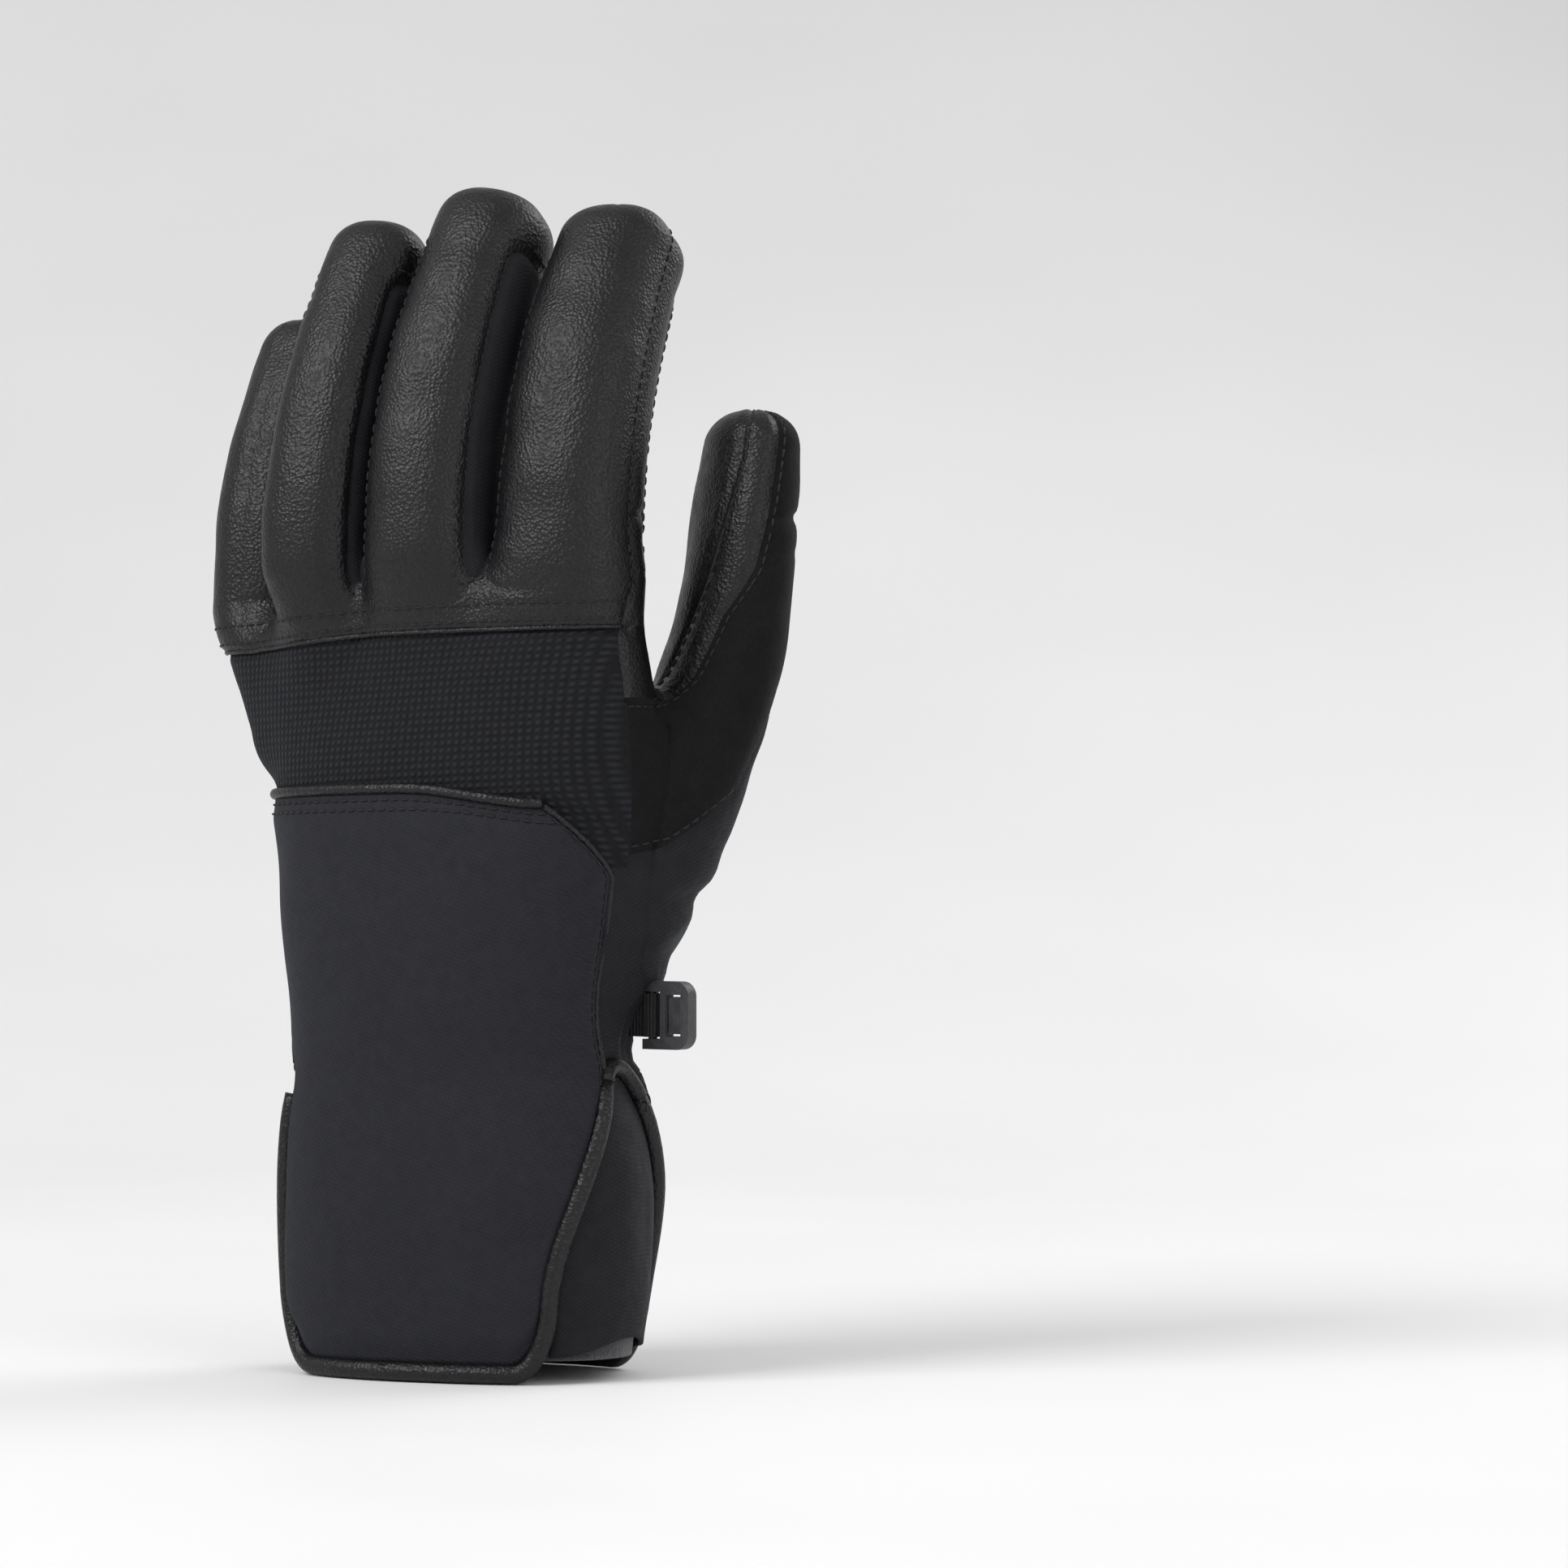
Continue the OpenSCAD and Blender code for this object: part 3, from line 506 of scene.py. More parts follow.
def relief(points, fields, dist):
    """How far the skin is pushed out, in millimetres: seams, padding, creases and gathers."""
    z = points[:, 2]
    f = {name: fields[:, i] for name, i in COL.items()}
    d = {name: dist[:, i] for name, i in COL.items()}
    backness = fields[:, BACKNESS]
    thumb = f["thumb_side"] > 0
    on_finger = smooth(192, 204, z) * ~thumb
    glove_hand = ~thumb
    push = np.zeros(len(points))
    seam = np.full(len(points), 9.0)

    def add_seam(key, where):
        nonlocal seam
        seam = np.where(where, np.minimum(seam, d[key]), seam)

    add_seam("palm", glove_hand & ((z > 142) | (points[:, 0] > 0)))
    add_seam("side", glove_hand & (z > 164) & (f["palm"] < 2))
    add_seam("hem", glove_hand & (backness < 0))
    add_seam("strip_left", (z < STRIP_TOP) & (f["palm"] > -1) & (f["thumb_side"] < 4))
    add_seam("strip_right", (z < STRIP_TOP) & (f["palm"] > -1) & (f["thumb_side"] < 4))
    add_seam("suede", f["thumb_side"] > -7)
    add_seam("thumb_strip", thumb & (f["suede"] < 0) & (z > 168))
    side_panel = (fields[:, OUTER] > 0.5) & (f["palm"] < 0) & (f["side"] > 0)
    seam = np.where(side_panel, np.minimum(seam, np.abs(z - 210)), seam)
    push += groove(seam, 1.1, 0.75)
    push += 0.42 * (1 - bell(seam, 6))
    # padding: soft lumps, larger on the backs of the fingers and the back of the hand
    soft = noise(points * (1, 1, 0.8), 17, 3) * 0.45 + noise(points, 8, 4) * 0.16
    push += soft * smooth(0.5, 5, seam)
    back_of_finger = on_finger * smooth(0.1, 0.7, -backness)
    push += back_of_finger * (0.5 * noise(points * (0.5, 1, 1), 9, 5) + 0.25)
    # creases across the fingers' inner side where they bend, and across the wrist
    for name in NAMES:
        middle = PLANES[name]["high"]
        way = middle[1] - middle[0]
        s = (points - (middle[0] + middle[1]) / 2) @ (way / np.linalg.norm(way))
        near = np.abs(points[:, 0] - middle[0][0]) < 13.5 if name != "little" else points[:, 0] < -51
        fold = near & (z > 200) & glove_hand
        s = s + noise(points * (1, 0.4, 0.4), 7, 6) * 1.4
        crease = (bell(s - 1, 1.3) + 0.8 * bell(s - 8, 1.4)
                  + 0.7 * bell(s + 7, 1.3))
        push -= fold * crease * 0.55 * smooth(-0.1, 0.6, backness)
    # leather drags from the thumb across the palm
    palm = smooth(0, 5, f["palm"]) * glove_hand
    drag = noise(points @ np.array([[0.30, 0, 0.20], [0, 0.3, 0], [-0.75, 0, 0.5]]).T, 6.0, 8)
    push += palm * (1 - on_finger) * drag * 0.5 * smooth(0.5, 4, seam)
    # the elastic gathers round the wrist, tight pleats on the palm and softer folds at the sides
    gather_palm = band(z, 64, 67, 92, 108) * smooth(-0.1, 0.3, backness)
    around = hand_turn(points) + noise(points * (0.6, 0.6, 0.35), 8, 9) * 5.5
    ripple = np.cos(around * 2 * math.pi / 9.0) + 0.35 * np.cos(around * 2 * math.pi / 5.3 + z * 0.2)
    pinch = bell(z - 79, 4.0)
    push += gather_palm * (ripple * (0.95 - 0.45 * pinch) * smooth(106, 84, z) + 0.1 - 0.9 * pinch)
    side_fold = band(z, 88, 100, 112, 136)
    side_fold *= smooth(0.35, 0.9, backness + 1.3 * (points[:, 0] > 10))
    side_fold *= smooth(8, 24, points[:, 0])
    long_ripple = np.cos((z - 0.20 * points[:, 0] + noise(points * 0.5, 9, 10) * 4.5) * 2 * math.pi / 14)
    push += side_fold * long_ripple * 0.9
    # the softshell's slack below the thumb
    slack = band(z, 96, 112, 150, 176) * smooth(18, 34, points[:, 0]) * (f["suede"] < 0)
    push += slack * noise(points @ np.array([[0.6, 0, 0.5], [0, 0.6, 0], [-0.4, 0, 0.7]]).T, 10, 11) * 0.7
    # the thumb: padded back, creases across its joint
    tip = PLANES["thumb"]["high"]
    s = (points - (tip[0] + tip[1]) / 2)[:, 2]
    push -= thumb * (f["suede"] > 0) * smooth(186, 196, z) * 0.4 * (
        bell(s + 2 + noise(points, 6, 12), 1.4) + 0.8 * bell(s + 10, 1.6))
    # panel thickness: the back leather lies over the knit, the leaf patch is raised
    push += np.where(glove_hand & (backness < 0.3), 0.9 * smooth(-0.2, 0.4, f["hem"]), 0.9)
    leaf = (f["palm"] > 0) & glove_hand & (z > 100) & (z < 168)
    raised = 0.55 * smooth(-0.1, 0.5, f["leaf"]) - 0.35 * bell(f["leaf"] + 0.9, 0.8)
    push += np.where(leaf, raised, 0)
    # under the cuff's back panel the skin keeps low and flat
    turn = hand_turn(points)
    edge = 354 - patch_lean(z)
    turn = np.where(turn < 90, turn + 360, turn)
    under = smooth(176, 186, turn) * (1 - smooth(edge + 1, edge + 13, turn)) * (1 - smooth(136, 143, z))
    return push * (1 - under) - 0.7 * under


def label_regions(points, faces, fields):
    """The panel and the body that every triangle belongs to."""
    c = points[faces].mean(1)
    f = fields[faces].mean(1)
    value = {name: f[:, i] for name, i in COL.items()}
    x, z = c[:, 0], c[:, 2]
    outer = f[:, OUTER]
    thumb = value["thumb_side"] > 0
    upper = (value["finger"] > 0) & ~thumb
    panel = np.full(len(faces), "shell", dtype=object)
    palm = (value["palm"] > 0) & ~thumb
    back = (value["side"] < 0) & (value["palm"] <= 0) & ~thumb
    middle = ~palm & ~back & ~thumb
    panel[palm] = "palm"
    strip = palm & (value["strip_left"] > 0) & (value["strip_right"] < 0) & (z < STRIP_TOP)
    shell_palm = palm & (value["strip_right"] > 0) & (z < STRIP_TOP)
    panel[strip] = "strip"
    panel[shell_palm] = "shell"
    panel[back & (value["hem"] > 0)] = "yoke"
    panel[back & (value["hem"] <= 0)] = "knit"
    below_knit = (panel == "knit") & (value["knit_foot"] < 0)
    panel[below_knit & (x > 0)] = "shell"
    panel[below_knit & (x < -30) & (hand_turn(c) < 205)] = "palm"
    panel[middle] = "fourchette"
    panel[middle & (outer > 0.5)] = "index_side"
    panel[middle & (outer > 0.5) & (z < 162)] = "shell"
    panel[middle & ((outer < -0.5) | (x < -56)) & (z < 192)] = "palm"
    on_leaf = (palm | middle) & (value["leaf"] > 0) & (z > 104) & (z < 164)
    panel[on_leaf & (panel != "fourchette")] = "leaf"
    side = middle & (outer > 0.3) & (z < 165)
    suede = (value["suede"] > 0) & ((value["thumb_side"] > -7) | side) & (x > 14)
    lower_thumb = (value["thumb_side"] > 0) | (suede & (z < 190))
    panel[thumb] = "shell"
    panel[lower_thumb & suede] = "suede"
    strips = thumb & ~suede & (z > 164)
    panel[strips & (value["thumb_strip"] > 0)] = "thumb_back"
    panel[strips & (value["thumb_strip"] <= 0)] = "thumb_back_upper"
    tu, tv, _, ta, tb, _ = LIMBS["thumb"].local(c)
    thumb_turn = np.degrees(np.arctan2(tv / tb, tu / ta))
    foot = (thumb_turn > table(SUEDE_EDGE, z)) & (thumb_turn < 168) & (z < 205)
    panel[strips & foot] = "shell"
    nearest = np.array(NAMES)[np.array([LIMBS[n].distance(c) for n in NAMES]).argmin(0)]
    part = np.full(len(faces), "hand", dtype=object)
    finger_part = np.where(value["middle_cut"] > 0, "_upper", "_lower")
    part[upper] = np.char.add(nearest[upper].astype(str), finger_part[upper].astype(str))
    thumb_part = np.where(value["thumb_middle"] > 0, "thumb_upper", "thumb_lower")
    on_thumb = thumb & (value["thumb_cut"] > 0)
    part[on_thumb] = thumb_part[on_thumb]
    finger = np.char.endswith(part.astype(str), "er") & ~on_thumb
    panel[finger & np.isin(panel.astype(str), ("shell", "strip", "leaf"))] = "palm"
    panel[on_thumb & (panel == "palm")] = "thumb_back"
    return panel, part


# ---------------------------------------------------------------- materials
class Nodes:
    """A material's node tree with short ways to add to it. Distances are in metres."""

    def __init__(self, name, shine=0.26):
        self.material = bpy.data.materials.new(name)
        self.material.use_nodes = True
        self.tree = self.material.node_tree
        self.shader = self.tree.nodes["Principled BSDF"]
        self.shader.inputs["Specular IOR Level"].default_value = shine
        self.place = self.tree.nodes.new("ShaderNodeTexCoord").outputs["Object"]
        self.normal = None

    def add(self, kind, **values):
        node = self.tree.nodes.new("ShaderNode" + kind)
        for key, value in values.items():
            if key in node.inputs:
                node.inputs[key].default_value = value
            else:
                setattr(node, key, value)
        return node

    def link(self, out, into):
        self.tree.links.new(out, into)

    def noise(self, size, detail=3.0, rough=0.6):
        """Noise with lumps of a size in metres."""
        node = self.add("TexNoise", Scale=1 / size, Detail=detail, Roughness=rough)
        self.link(self.place, node.inputs["Vector"])
        return node.outputs["Fac"]

    def cells(self, size):
        """Rounded pebbles of a size in metres."""
        node = self.add("TexVoronoi", Scale=1 / size)
        self.link(self.place, node.inputs["Vector"])
        return node.outputs["Distance"]

    def ribs(self, pitch, turn, wobble=0.0):
        """Parallel ribs with a pitch in metres, across the x axis after the turn."""
        mapping = self.add("Mapping", Rotation=turn)
        self.link(self.place, mapping.inputs["Vector"])
        node = self.add("TexWave", Scale=0.05 / pitch * math.pi * 2, Distortion=wobble)
        self.link(mapping.outputs["Vector"], node.inputs["Vector"])
        return node.outputs["Fac"]

    def blend_of(self, a, b, how="MULTIPLY"):
        node = self.add("Math", operation=how)
        self.link(a, node.inputs[0])
        self.link(b, node.inputs[1])
        return node.outputs[0]

    def ramp(self, fac, *stops):
        node = self.add("ValToRGB")
        while len(node.color_ramp.elements) < len(stops):
            node.color_ramp.elements.new(0.5)
        for element, (at, colour) in zip(node.color_ramp.elements, stops):
            element.position = at
            element.color = (*colour, 1) if len(colour) == 3 else colour
        self.link(fac, node.inputs["Fac"])
        return node.outputs["Color"]

    def colour(self, fac, low, high, start=0.3, end=0.7):
        self.link(self.ramp(fac, (start, low), (end, high)), self.shader.inputs["Base Color"])

    def rough(self, fac, low, high):
        limits = {"From Min": 0.3, "From Max": 0.7, "To Min": low, "To Max": high}
        node = self.add("MapRange", **limits)
        self.link(fac, node.inputs["Value"])
        self.link(node.outputs["Result"], self.shader.inputs["Roughness"])

    def bump(self, height, depth):
        """Relief of a depth in metres from a 0 to 1 height, added to any before it."""
        node = self.add("Bump", Strength=1.0, Distance=depth)
        self.link(height, node.inputs["Height"])
        if self.normal:
            self.link(self.normal, node.inputs["Normal"])
        self.normal = node.outputs["Normal"]
        self.link(self.normal, self.shader.inputs["Normal"])

    def sheen(self, weight, roughness=0.5, tint=(1, 1, 1)):
        self.shader.inputs["Sheen Weight"].default_value = weight
        self.shader.inputs["Sheen Roughness"].default_value = roughness
        self.shader.inputs["Sheen Tint"].default_value = (*tint, 1)


def leather():
    m = Nodes("goat_leather", 0.31)
    pebble = m.cells(0.00085)
    grain = m.noise(0.0008, 4)
    m.colour(grain, (0.0028, 0.0028, 0.0034), (0.009, 0.009, 0.0105))
    m.rough(m.noise(0.004, 5), 0.34, 0.50)
    m.bump(m.noise(0.003, 3), 0.00006)
    m.bump(pebble, 0.00020)
    m.bump(grain, 0.00006)
    return m.material


def softshell():
    m = Nodes("softshell")
    weave = m.blend_of(m.ribs(0.00075, (0, 0.8, 0)), m.ribs(0.00075, (0, -0.8, 0)))
    shade = m.blend_of(weave, m.noise(0.006, 4), "ADD")
    m.colour(shade, (0.0045, 0.0046, 0.0062), (0.0095, 0.0098, 0.0128), 0.4, 1.1)
    m.rough(m.noise(0.003), 0.72, 0.86)
    m.bump(weave, 0.00007)
    m.bump(m.noise(0.006, 4), 0.00035)
    m.sheen(0.03, 0.5, (0.6, 0.65, 0.8))
    return m.material


def knit():
    m = Nodes("ribbed_knit")
    ribs = m.ribs(0.0018, (0, 0.06, 0.45))
    rows = m.ribs(0.0018, (0, math.pi / 2 + 0.05, 0))
    grid = m.blend_of(ribs, rows)
    m.colour(grid, (0.0030, 0.0032, 0.0042), (0.0140, 0.0148, 0.0182), 0.05, 0.85)
    m.rough(m.noise(0.0015), 0.8, 0.95)
    m.bump(grid, 0.00055)
    m.bump(m.noise(0.0009, 4), 0.0002)
    m.sheen(0.04, 0.5, (0.6, 0.65, 0.8))
    return m.material


def suede():
    m = Nodes("suede")
    nap = m.noise(0.0008, 6, 0.7)
    m.colour(m.noise(0.006, 5), (0.0015, 0.0015, 0.0018), (0.004, 0.004, 0.0046))
    m.rough(nap, 0.86, 1.0)
    m.bump(nap, 0.00022)
    m.bump(m.noise(0.005, 4), 0.0003)
    m.sheen(0.03, 0.4)
    return m.material


def cuff_fabric():
    m = Nodes("cuff_softshell")
    weave = m.blend_of(m.ribs(0.0009, (0, 0.5, 0.3)), m.ribs(0.0009, (0, math.pi / 2 - 0.3, 0)))
    shade = m.blend_of(weave, m.noise(0.004, 5), "ADD")
    m.colour(shade, (0.0060, 0.0062, 0.0083), (0.0130, 0.0133, 0.0172), 0.0, 1.6)
    m.rough(m.noise(0.003), 0.76, 0.86)
    m.bump(weave, 0.00009)
    m.bump(m.noise(0.009, 2), 0.00012)
    m.sheen(0.05, 0.5, (0.6, 0.65, 0.8))
    return m.material


def neoprene():
    m = Nodes("neoprene_knit")
    twill = m.blend_of(m.ribs(0.0011, (0, 0.9, 0), 0.4), m.ribs(0.0007, (0, -0.5, 0), 0.4))
    shade = m.blend_of(twill, m.noise(0.010, 5), "ADD")
    m.colour(shade, (0.0045, 0.0047, 0.0062), (0.013, 0.0135, 0.0165), 0.4, 1.2)
    m.rough(m.noise(0.002), 0.8, 0.95)
    m.bump(twill, 0.00016)
    m.bump(m.noise(0.007, 4), 0.0004)
    m.sheen(0.04, 0.5)
    return m.material


def webbing():
    m = Nodes("grosgrain")
    ribs = m.ribs(0.0009, (0, 0, 0))
    m.colour(m.blend_of(ribs, m.noise(0.001, 4)), (0.004, 0.004, 0.005), (0.018, 0.018, 0.021), 0.05, 0.6)
    m.rough(m.noise(0.002), 0.6, 0.8)
    m.bump(ribs, 0.00028)
    m.bump(m.noise(0.0005, 3), 0.0001)
    m.sheen(0.05, 0.5)
    return m.material


def plastic():
    m = Nodes("moulded_plastic", 0.45)
    spark = m.noise(0.0007, 5)
    m.colour(m.noise(0.003, 4), (0.030, 0.030, 0.033), (0.055, 0.055, 0.060))
    m.rough(spark, 0.38, 0.55)
    m.bump(spark, 0.00012)
    return m.material


def label_cloth():
    """A woven label: a light block over a dark one, each with a plain woven pattern."""
    m = Nodes("woven_label")
    split = m.add("SeparateXYZ")
    m.link(m.place, split.inputs["Vector"])
    weave = m.blend_of(m.ribs(0.0006, (0, 0, 0)), m.ribs(0.0006, (0, math.pi / 2, 0)))
    block = m.add("MapRange", **{"From Min": 0.0475, "From Max": 0.0479})
    m.link(split.outputs["Z"], block.inputs["Value"])
    light = m.ramp(weave, (0.1, (0.20, 0.20, 0.21)), (0.8, (0.36, 0.36, 0.37)))
    dark = m.ramp(weave, (0.1, (0.012, 0.012, 0.014)), (0.8, (0.035, 0.035, 0.04)))
    mix = m.add("Mix", data_type="RGBA")
    m.link(block.outputs["Result"], mix.inputs["Factor"])
    m.link(dark, mix.inputs[6])
    m.link(light, mix.inputs[7])
    m.link(mix.outputs[2], m.shader.inputs["Base Color"])
    m.rough(m.noise(0.001), 0.7, 0.85)
    m.bump(weave, 0.0001)
    return m.material


def thread():
    m = Nodes("sewing_thread")
    twist = m.ribs(0.0005, (0.6, 0.6, 0.3))
    m.colour(twist, (0.005, 0.005, 0.006), (0.022, 0.022, 0.026), 0.1, 0.9)
    m.rough(m.noise(0.0006), 0.5, 0.7)
    m.bump(twist, 0.00008)
    return m.material


def fleece():
    m = Nodes("brushed_lining")
    m.colour(m.noise(0.0012, 6, 0.7), (0.016, 0.016, 0.019), (0.045, 0.045, 0.050))
    m.rough(m.noise(0.003), 0.9, 1.0)
    m.bump(m.noise(0.0011, 6, 0.7), 0.0005)
    m.sheen(0.4, 0.5)
    return m.material


def hidden_layer(name, low, high, size):
    """Wadding, film and elastic, which show only where the glove is opened."""
    m = Nodes(name)
    m.colour(m.noise(size, 5), low, high)
    m.rough(m.noise(size * 2), 0.6, 0.9)
    m.bump(m.noise(size, 5), size * 0.3)
    return m.material


SLOTS = {
    "leather": leather(), "softshell": softshell(), "knit": knit(), "suede": suede(), "neoprene": neoprene(),
    "webbing": webbing(), "plastic": plastic(), "label": label_cloth(), "lining": fleece(),
    "wadding": hidden_layer("wadding", (0.55, 0.55, 0.54), (0.72, 0.72, 0.71), 0.002),
    "film": hidden_layer("membrane", (0.45, 0.46, 0.47), (0.6, 0.6, 0.61), 0.004),
    "elastic": hidden_layer("elastic_web", (0.012, 0.012, 0.014), (0.04, 0.04, 0.044), 0.001),
}
THREAD = thread()
CUFF_FABRIC = cuff_fabric()


# ---------------------------------------------------------------- pieces
def make(name, points, faces, slot, material=None, body=None, replaces=(), normals=None):
    """A mesh object from points in millimetres."""
    mesh = bpy.data.meshes.new(name)
    mesh.from_pydata((np.asarray(points) / 1000).tolist(), [], [list(map(int, f)) for f in faces])
    mesh.validate()
    mesh.polygons.foreach_set("use_smooth", [True] * len(mesh.polygons))
    mesh.materials.append(material or SLOTS[slot])
    obj = bpy.data.objects.new(name, mesh)
    bpy.context.scene.collection.objects.link(obj)
    if normals is not None:
        mesh.normals_split_custom_set_from_vertices(np.asarray(normals).tolist())
    if replaces:
        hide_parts(*replaces)
    if body:
        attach(obj, body)
    return obj


def bend(obj, a, b, start, end):
    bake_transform(obj)


def wrist_bend(obj):
    bend(obj, "cuff", "hand", (0, 0, 62), (0, 0, 100))


def iso_chains(points, faces, f):
    """Ordered lines on a triangle mesh where f is zero, with the nearest face of each point."""
    mixed, _, edges, back = cut_edges(faces, f > 0)
    t = (f[edges[:, 0]] / (f[edges[:, 0]] - f[edges[:, 1]]))[:, None]
    places = points[edges[:, 0]] * (1 - t) + points[edges[:, 1]] * t
    n = len(mixed)
    links = {}
    for i in range(n):
        a, b = int(back[i]), int(back[i + n])
        links.setdefault(a, []).append((b, int(mixed[i])))
        links.setdefault(b, []).append((a, int(mixed[i])))
    chains = []
    seen = set()
    starts = sorted(k for k, v in links.items() if len(v) == 1) + sorted(links)
    for start in starts:
        if start in seen:
            continue
        line, owners, at = [start], [links[start][0][1]], start
        seen.add(start)
        while True:
            onward = [x for x in links[at] if x[0] not in seen]
            if not onward:
                break
            at, owner = onward[0]
            seen.add(at)
            line.append(at)
            owners.append(owner)
        if len(line) > 8:
            chains.append((places[line], np.array(owners)))
    return chains


def ring_faces(rings, sides):
    """The faces round a row of rings, with its two ends closed."""
    faces = []
    for i in range(0, (rings - 1) * sides, sides):
        for k in range(sides):
            onward = (k + 1) % sides
            faces.append((i + k, i + onward, i + sides + onward, i + sides + k))
    faces.append(tuple(range(sides - 1, -1, -1)))
    faces.append(tuple(range((rings - 1) * sides, rings * sides)))
    return faces


def capsule(centre, along, up, length, radius):
    """One stitch: a short thread, tapered at its ends."""
    side = np.cross(along, up)
    side = side / np.linalg.norm(side)
    up = np.cross(side, along)
    points = []
    rings = ((-0.5, 0.25), (-0.36, 0.9), (0.0, 1.0), (0.36, 0.9), (0.5, 0.25))
    for share, r in rings:
        for k in range(6):
            turn = math.pi * k / 3
            drop = -0.9 * radius * (2 * share) ** 4
            points.append(centre + along * share * length + up * (drop + math.sin(turn) * radius * r)
                          + side * math.cos(turn) * radius * r)
    return points, ring_faces(len(rings), 6)


def stitch_line(line, ups, pitch=3.0, length=2.4, radius=0.3, lift=0.12):
    """Stitches along a line of points; returns a list of (centre index, points, faces)."""
    steps = np.linalg.norm(np.diff(line, axis=0), axis=1)
    s = np.concatenate([[0], np.cumsum(steps)])
    out = []
    for at in np.arange(pitch / 2, s[-1], pitch):
        a = np.array([np.interp(at - length / 2, s, line[:, i]) for i in range(3)])
        b = np.array([np.interp(at + length / 2, s, line[:, i]) for i in range(3)])
        k = int(np.clip(np.searchsorted(s, at), 0, len(line) - 1))
        way = b - a
        size = np.linalg.norm(way)
        if size < length * 0.6:
            continue
        centre = np.array([np.interp(at, s, line[:, i]) for i in range(3)]) + ups[k] * lift
        out.append((k, *capsule(centre, way / size, ups[k], length, radius)))
    return out


def join_stitches(name, stitches, slot="leather"):
    points, faces = [], []
    for _, p, f in stitches:
        faces += [tuple(i + len(points) for i in face) for face in f]
        points += p
    return make(name, points, faces, slot, THREAD)


HAND_PANELS = {
    "yoke": ("hand_back_leather", "leather", ("back_yoke",)),
    "knit": ("hand_knit", "knit", ("knit_band",)),
    "palm": ("hand_palm_leather", "leather", ("palm_leather", "hand_insulation", "waterproof_membrane")),
    "strip": ("palm_strip", "leather", ("thumb_strip",)),
    "leaf": ("leaf_patch", "leather", ("thumb_crotch_patch",)),
    "shell": ("thumb_side_softshell", "softshell", ("thumb_base_softshell",)),
    "suede": ("thumb_root_suede", "suede", ("thumb_base_suede",)),
    "fourchette": ("fourchette_roots", "softshell", ()),
    "index_side": ("index_side_root", "leather", ()),
    "thumb_back": ("thumb_back_root", "leather", ()),
    "thumb_back_upper": ("thumb_edge_root", "leather", ()),
}
FINGER_PANELS = {
    "yoke": ("back", "leather"), "palm": ("palm", "leather"), "fourchette": ("fourchette", "softshell"),
    "index_side": ("side", "leather"), "suede": ("suede", "suede"), "thumb_back": ("back", "leather"),
    "thumb_back_upper": ("edge", "leather"), "shell": ("softshell", "softshell"),
}


def build_skin():
    points, faces, fields, dist = body_mesh()
    normals = vertex_normals(points, faces)
    push = relief(points, fields, dist)
    points = points + normals * push[:, None]
    normals = vertex_normals(points, faces)
    panel, part = label_regions(points, faces, fields)
    middle = points[faces].mean(1)
    turn = hand_turn(middle)
    edge = 342 - patch_lean(middle[:, 2])
    left = 214 - 17 * smooth(70, 92, middle[:, 2])
    covered = (turn > left) & (turn < edge) & (middle[:, 2] < 138)
    side = np.where(turn > 180, turn - 360, turn)
    in_gusset = (side > np.minimum(back_edge(middle[:, 2]) - 356, -10)) & (
        side < np.maximum(palm_edge(middle[:, 2]) - 4, 8)) & (middle[:, 2] < 74)
    keep = (middle[:, 2] > 64) & ~covered & ~in_gusset
    for body in dict.fromkeys(part):
        for kind in dict.fromkeys(panel):
            chosen = faces[keep & (part == body) & (panel == kind)]
            if not len(chosen):
                continue
            used, flat = np.unique(chosen, return_inverse=True)
            flat = flat.reshape(-1, 3)
            if body == "hand":
                name, slot, nodes = HAND_PANELS[kind]
            else:
                word, slot = FINGER_PANELS[kind]
                name, nodes = body + "_" + word + "_skin", ()
                finger, _, level = body.partition("_")
                if finger == "thumb":
                    nodes = ("thumb_shell_" + level, "thumb_lining_" + level) if kind == "suede" else ()
                elif kind in ("palm", "fourchette"):
                    nodes = (finger + "_" + word + "_" + level,)
                elif kind == "yoke":
                    nodes = (finger + "_back_" + level, finger + "_lining_" + level)
            obj = make(name, points[used], flat, slot, replaces=nodes, normals=normals[used])
            settle(obj, body)
    sew(points, faces, fields, normals, panel, part, keep)


def settle(obj, body):
    """Bakes the transform of a piece of the skin into its mesh; nothing bends it between the bodies it lies
    across.
    """
    if body == "hand":
        wrist_bend(obj)
        return
    finger, _, level = body.partition("_")
    if level == "lower":
        bend(obj, "hand", body, *PLANES[finger]["low"])
    else:
        bend(obj, finger + "_lower", body, *PLANES[finger]["high"])


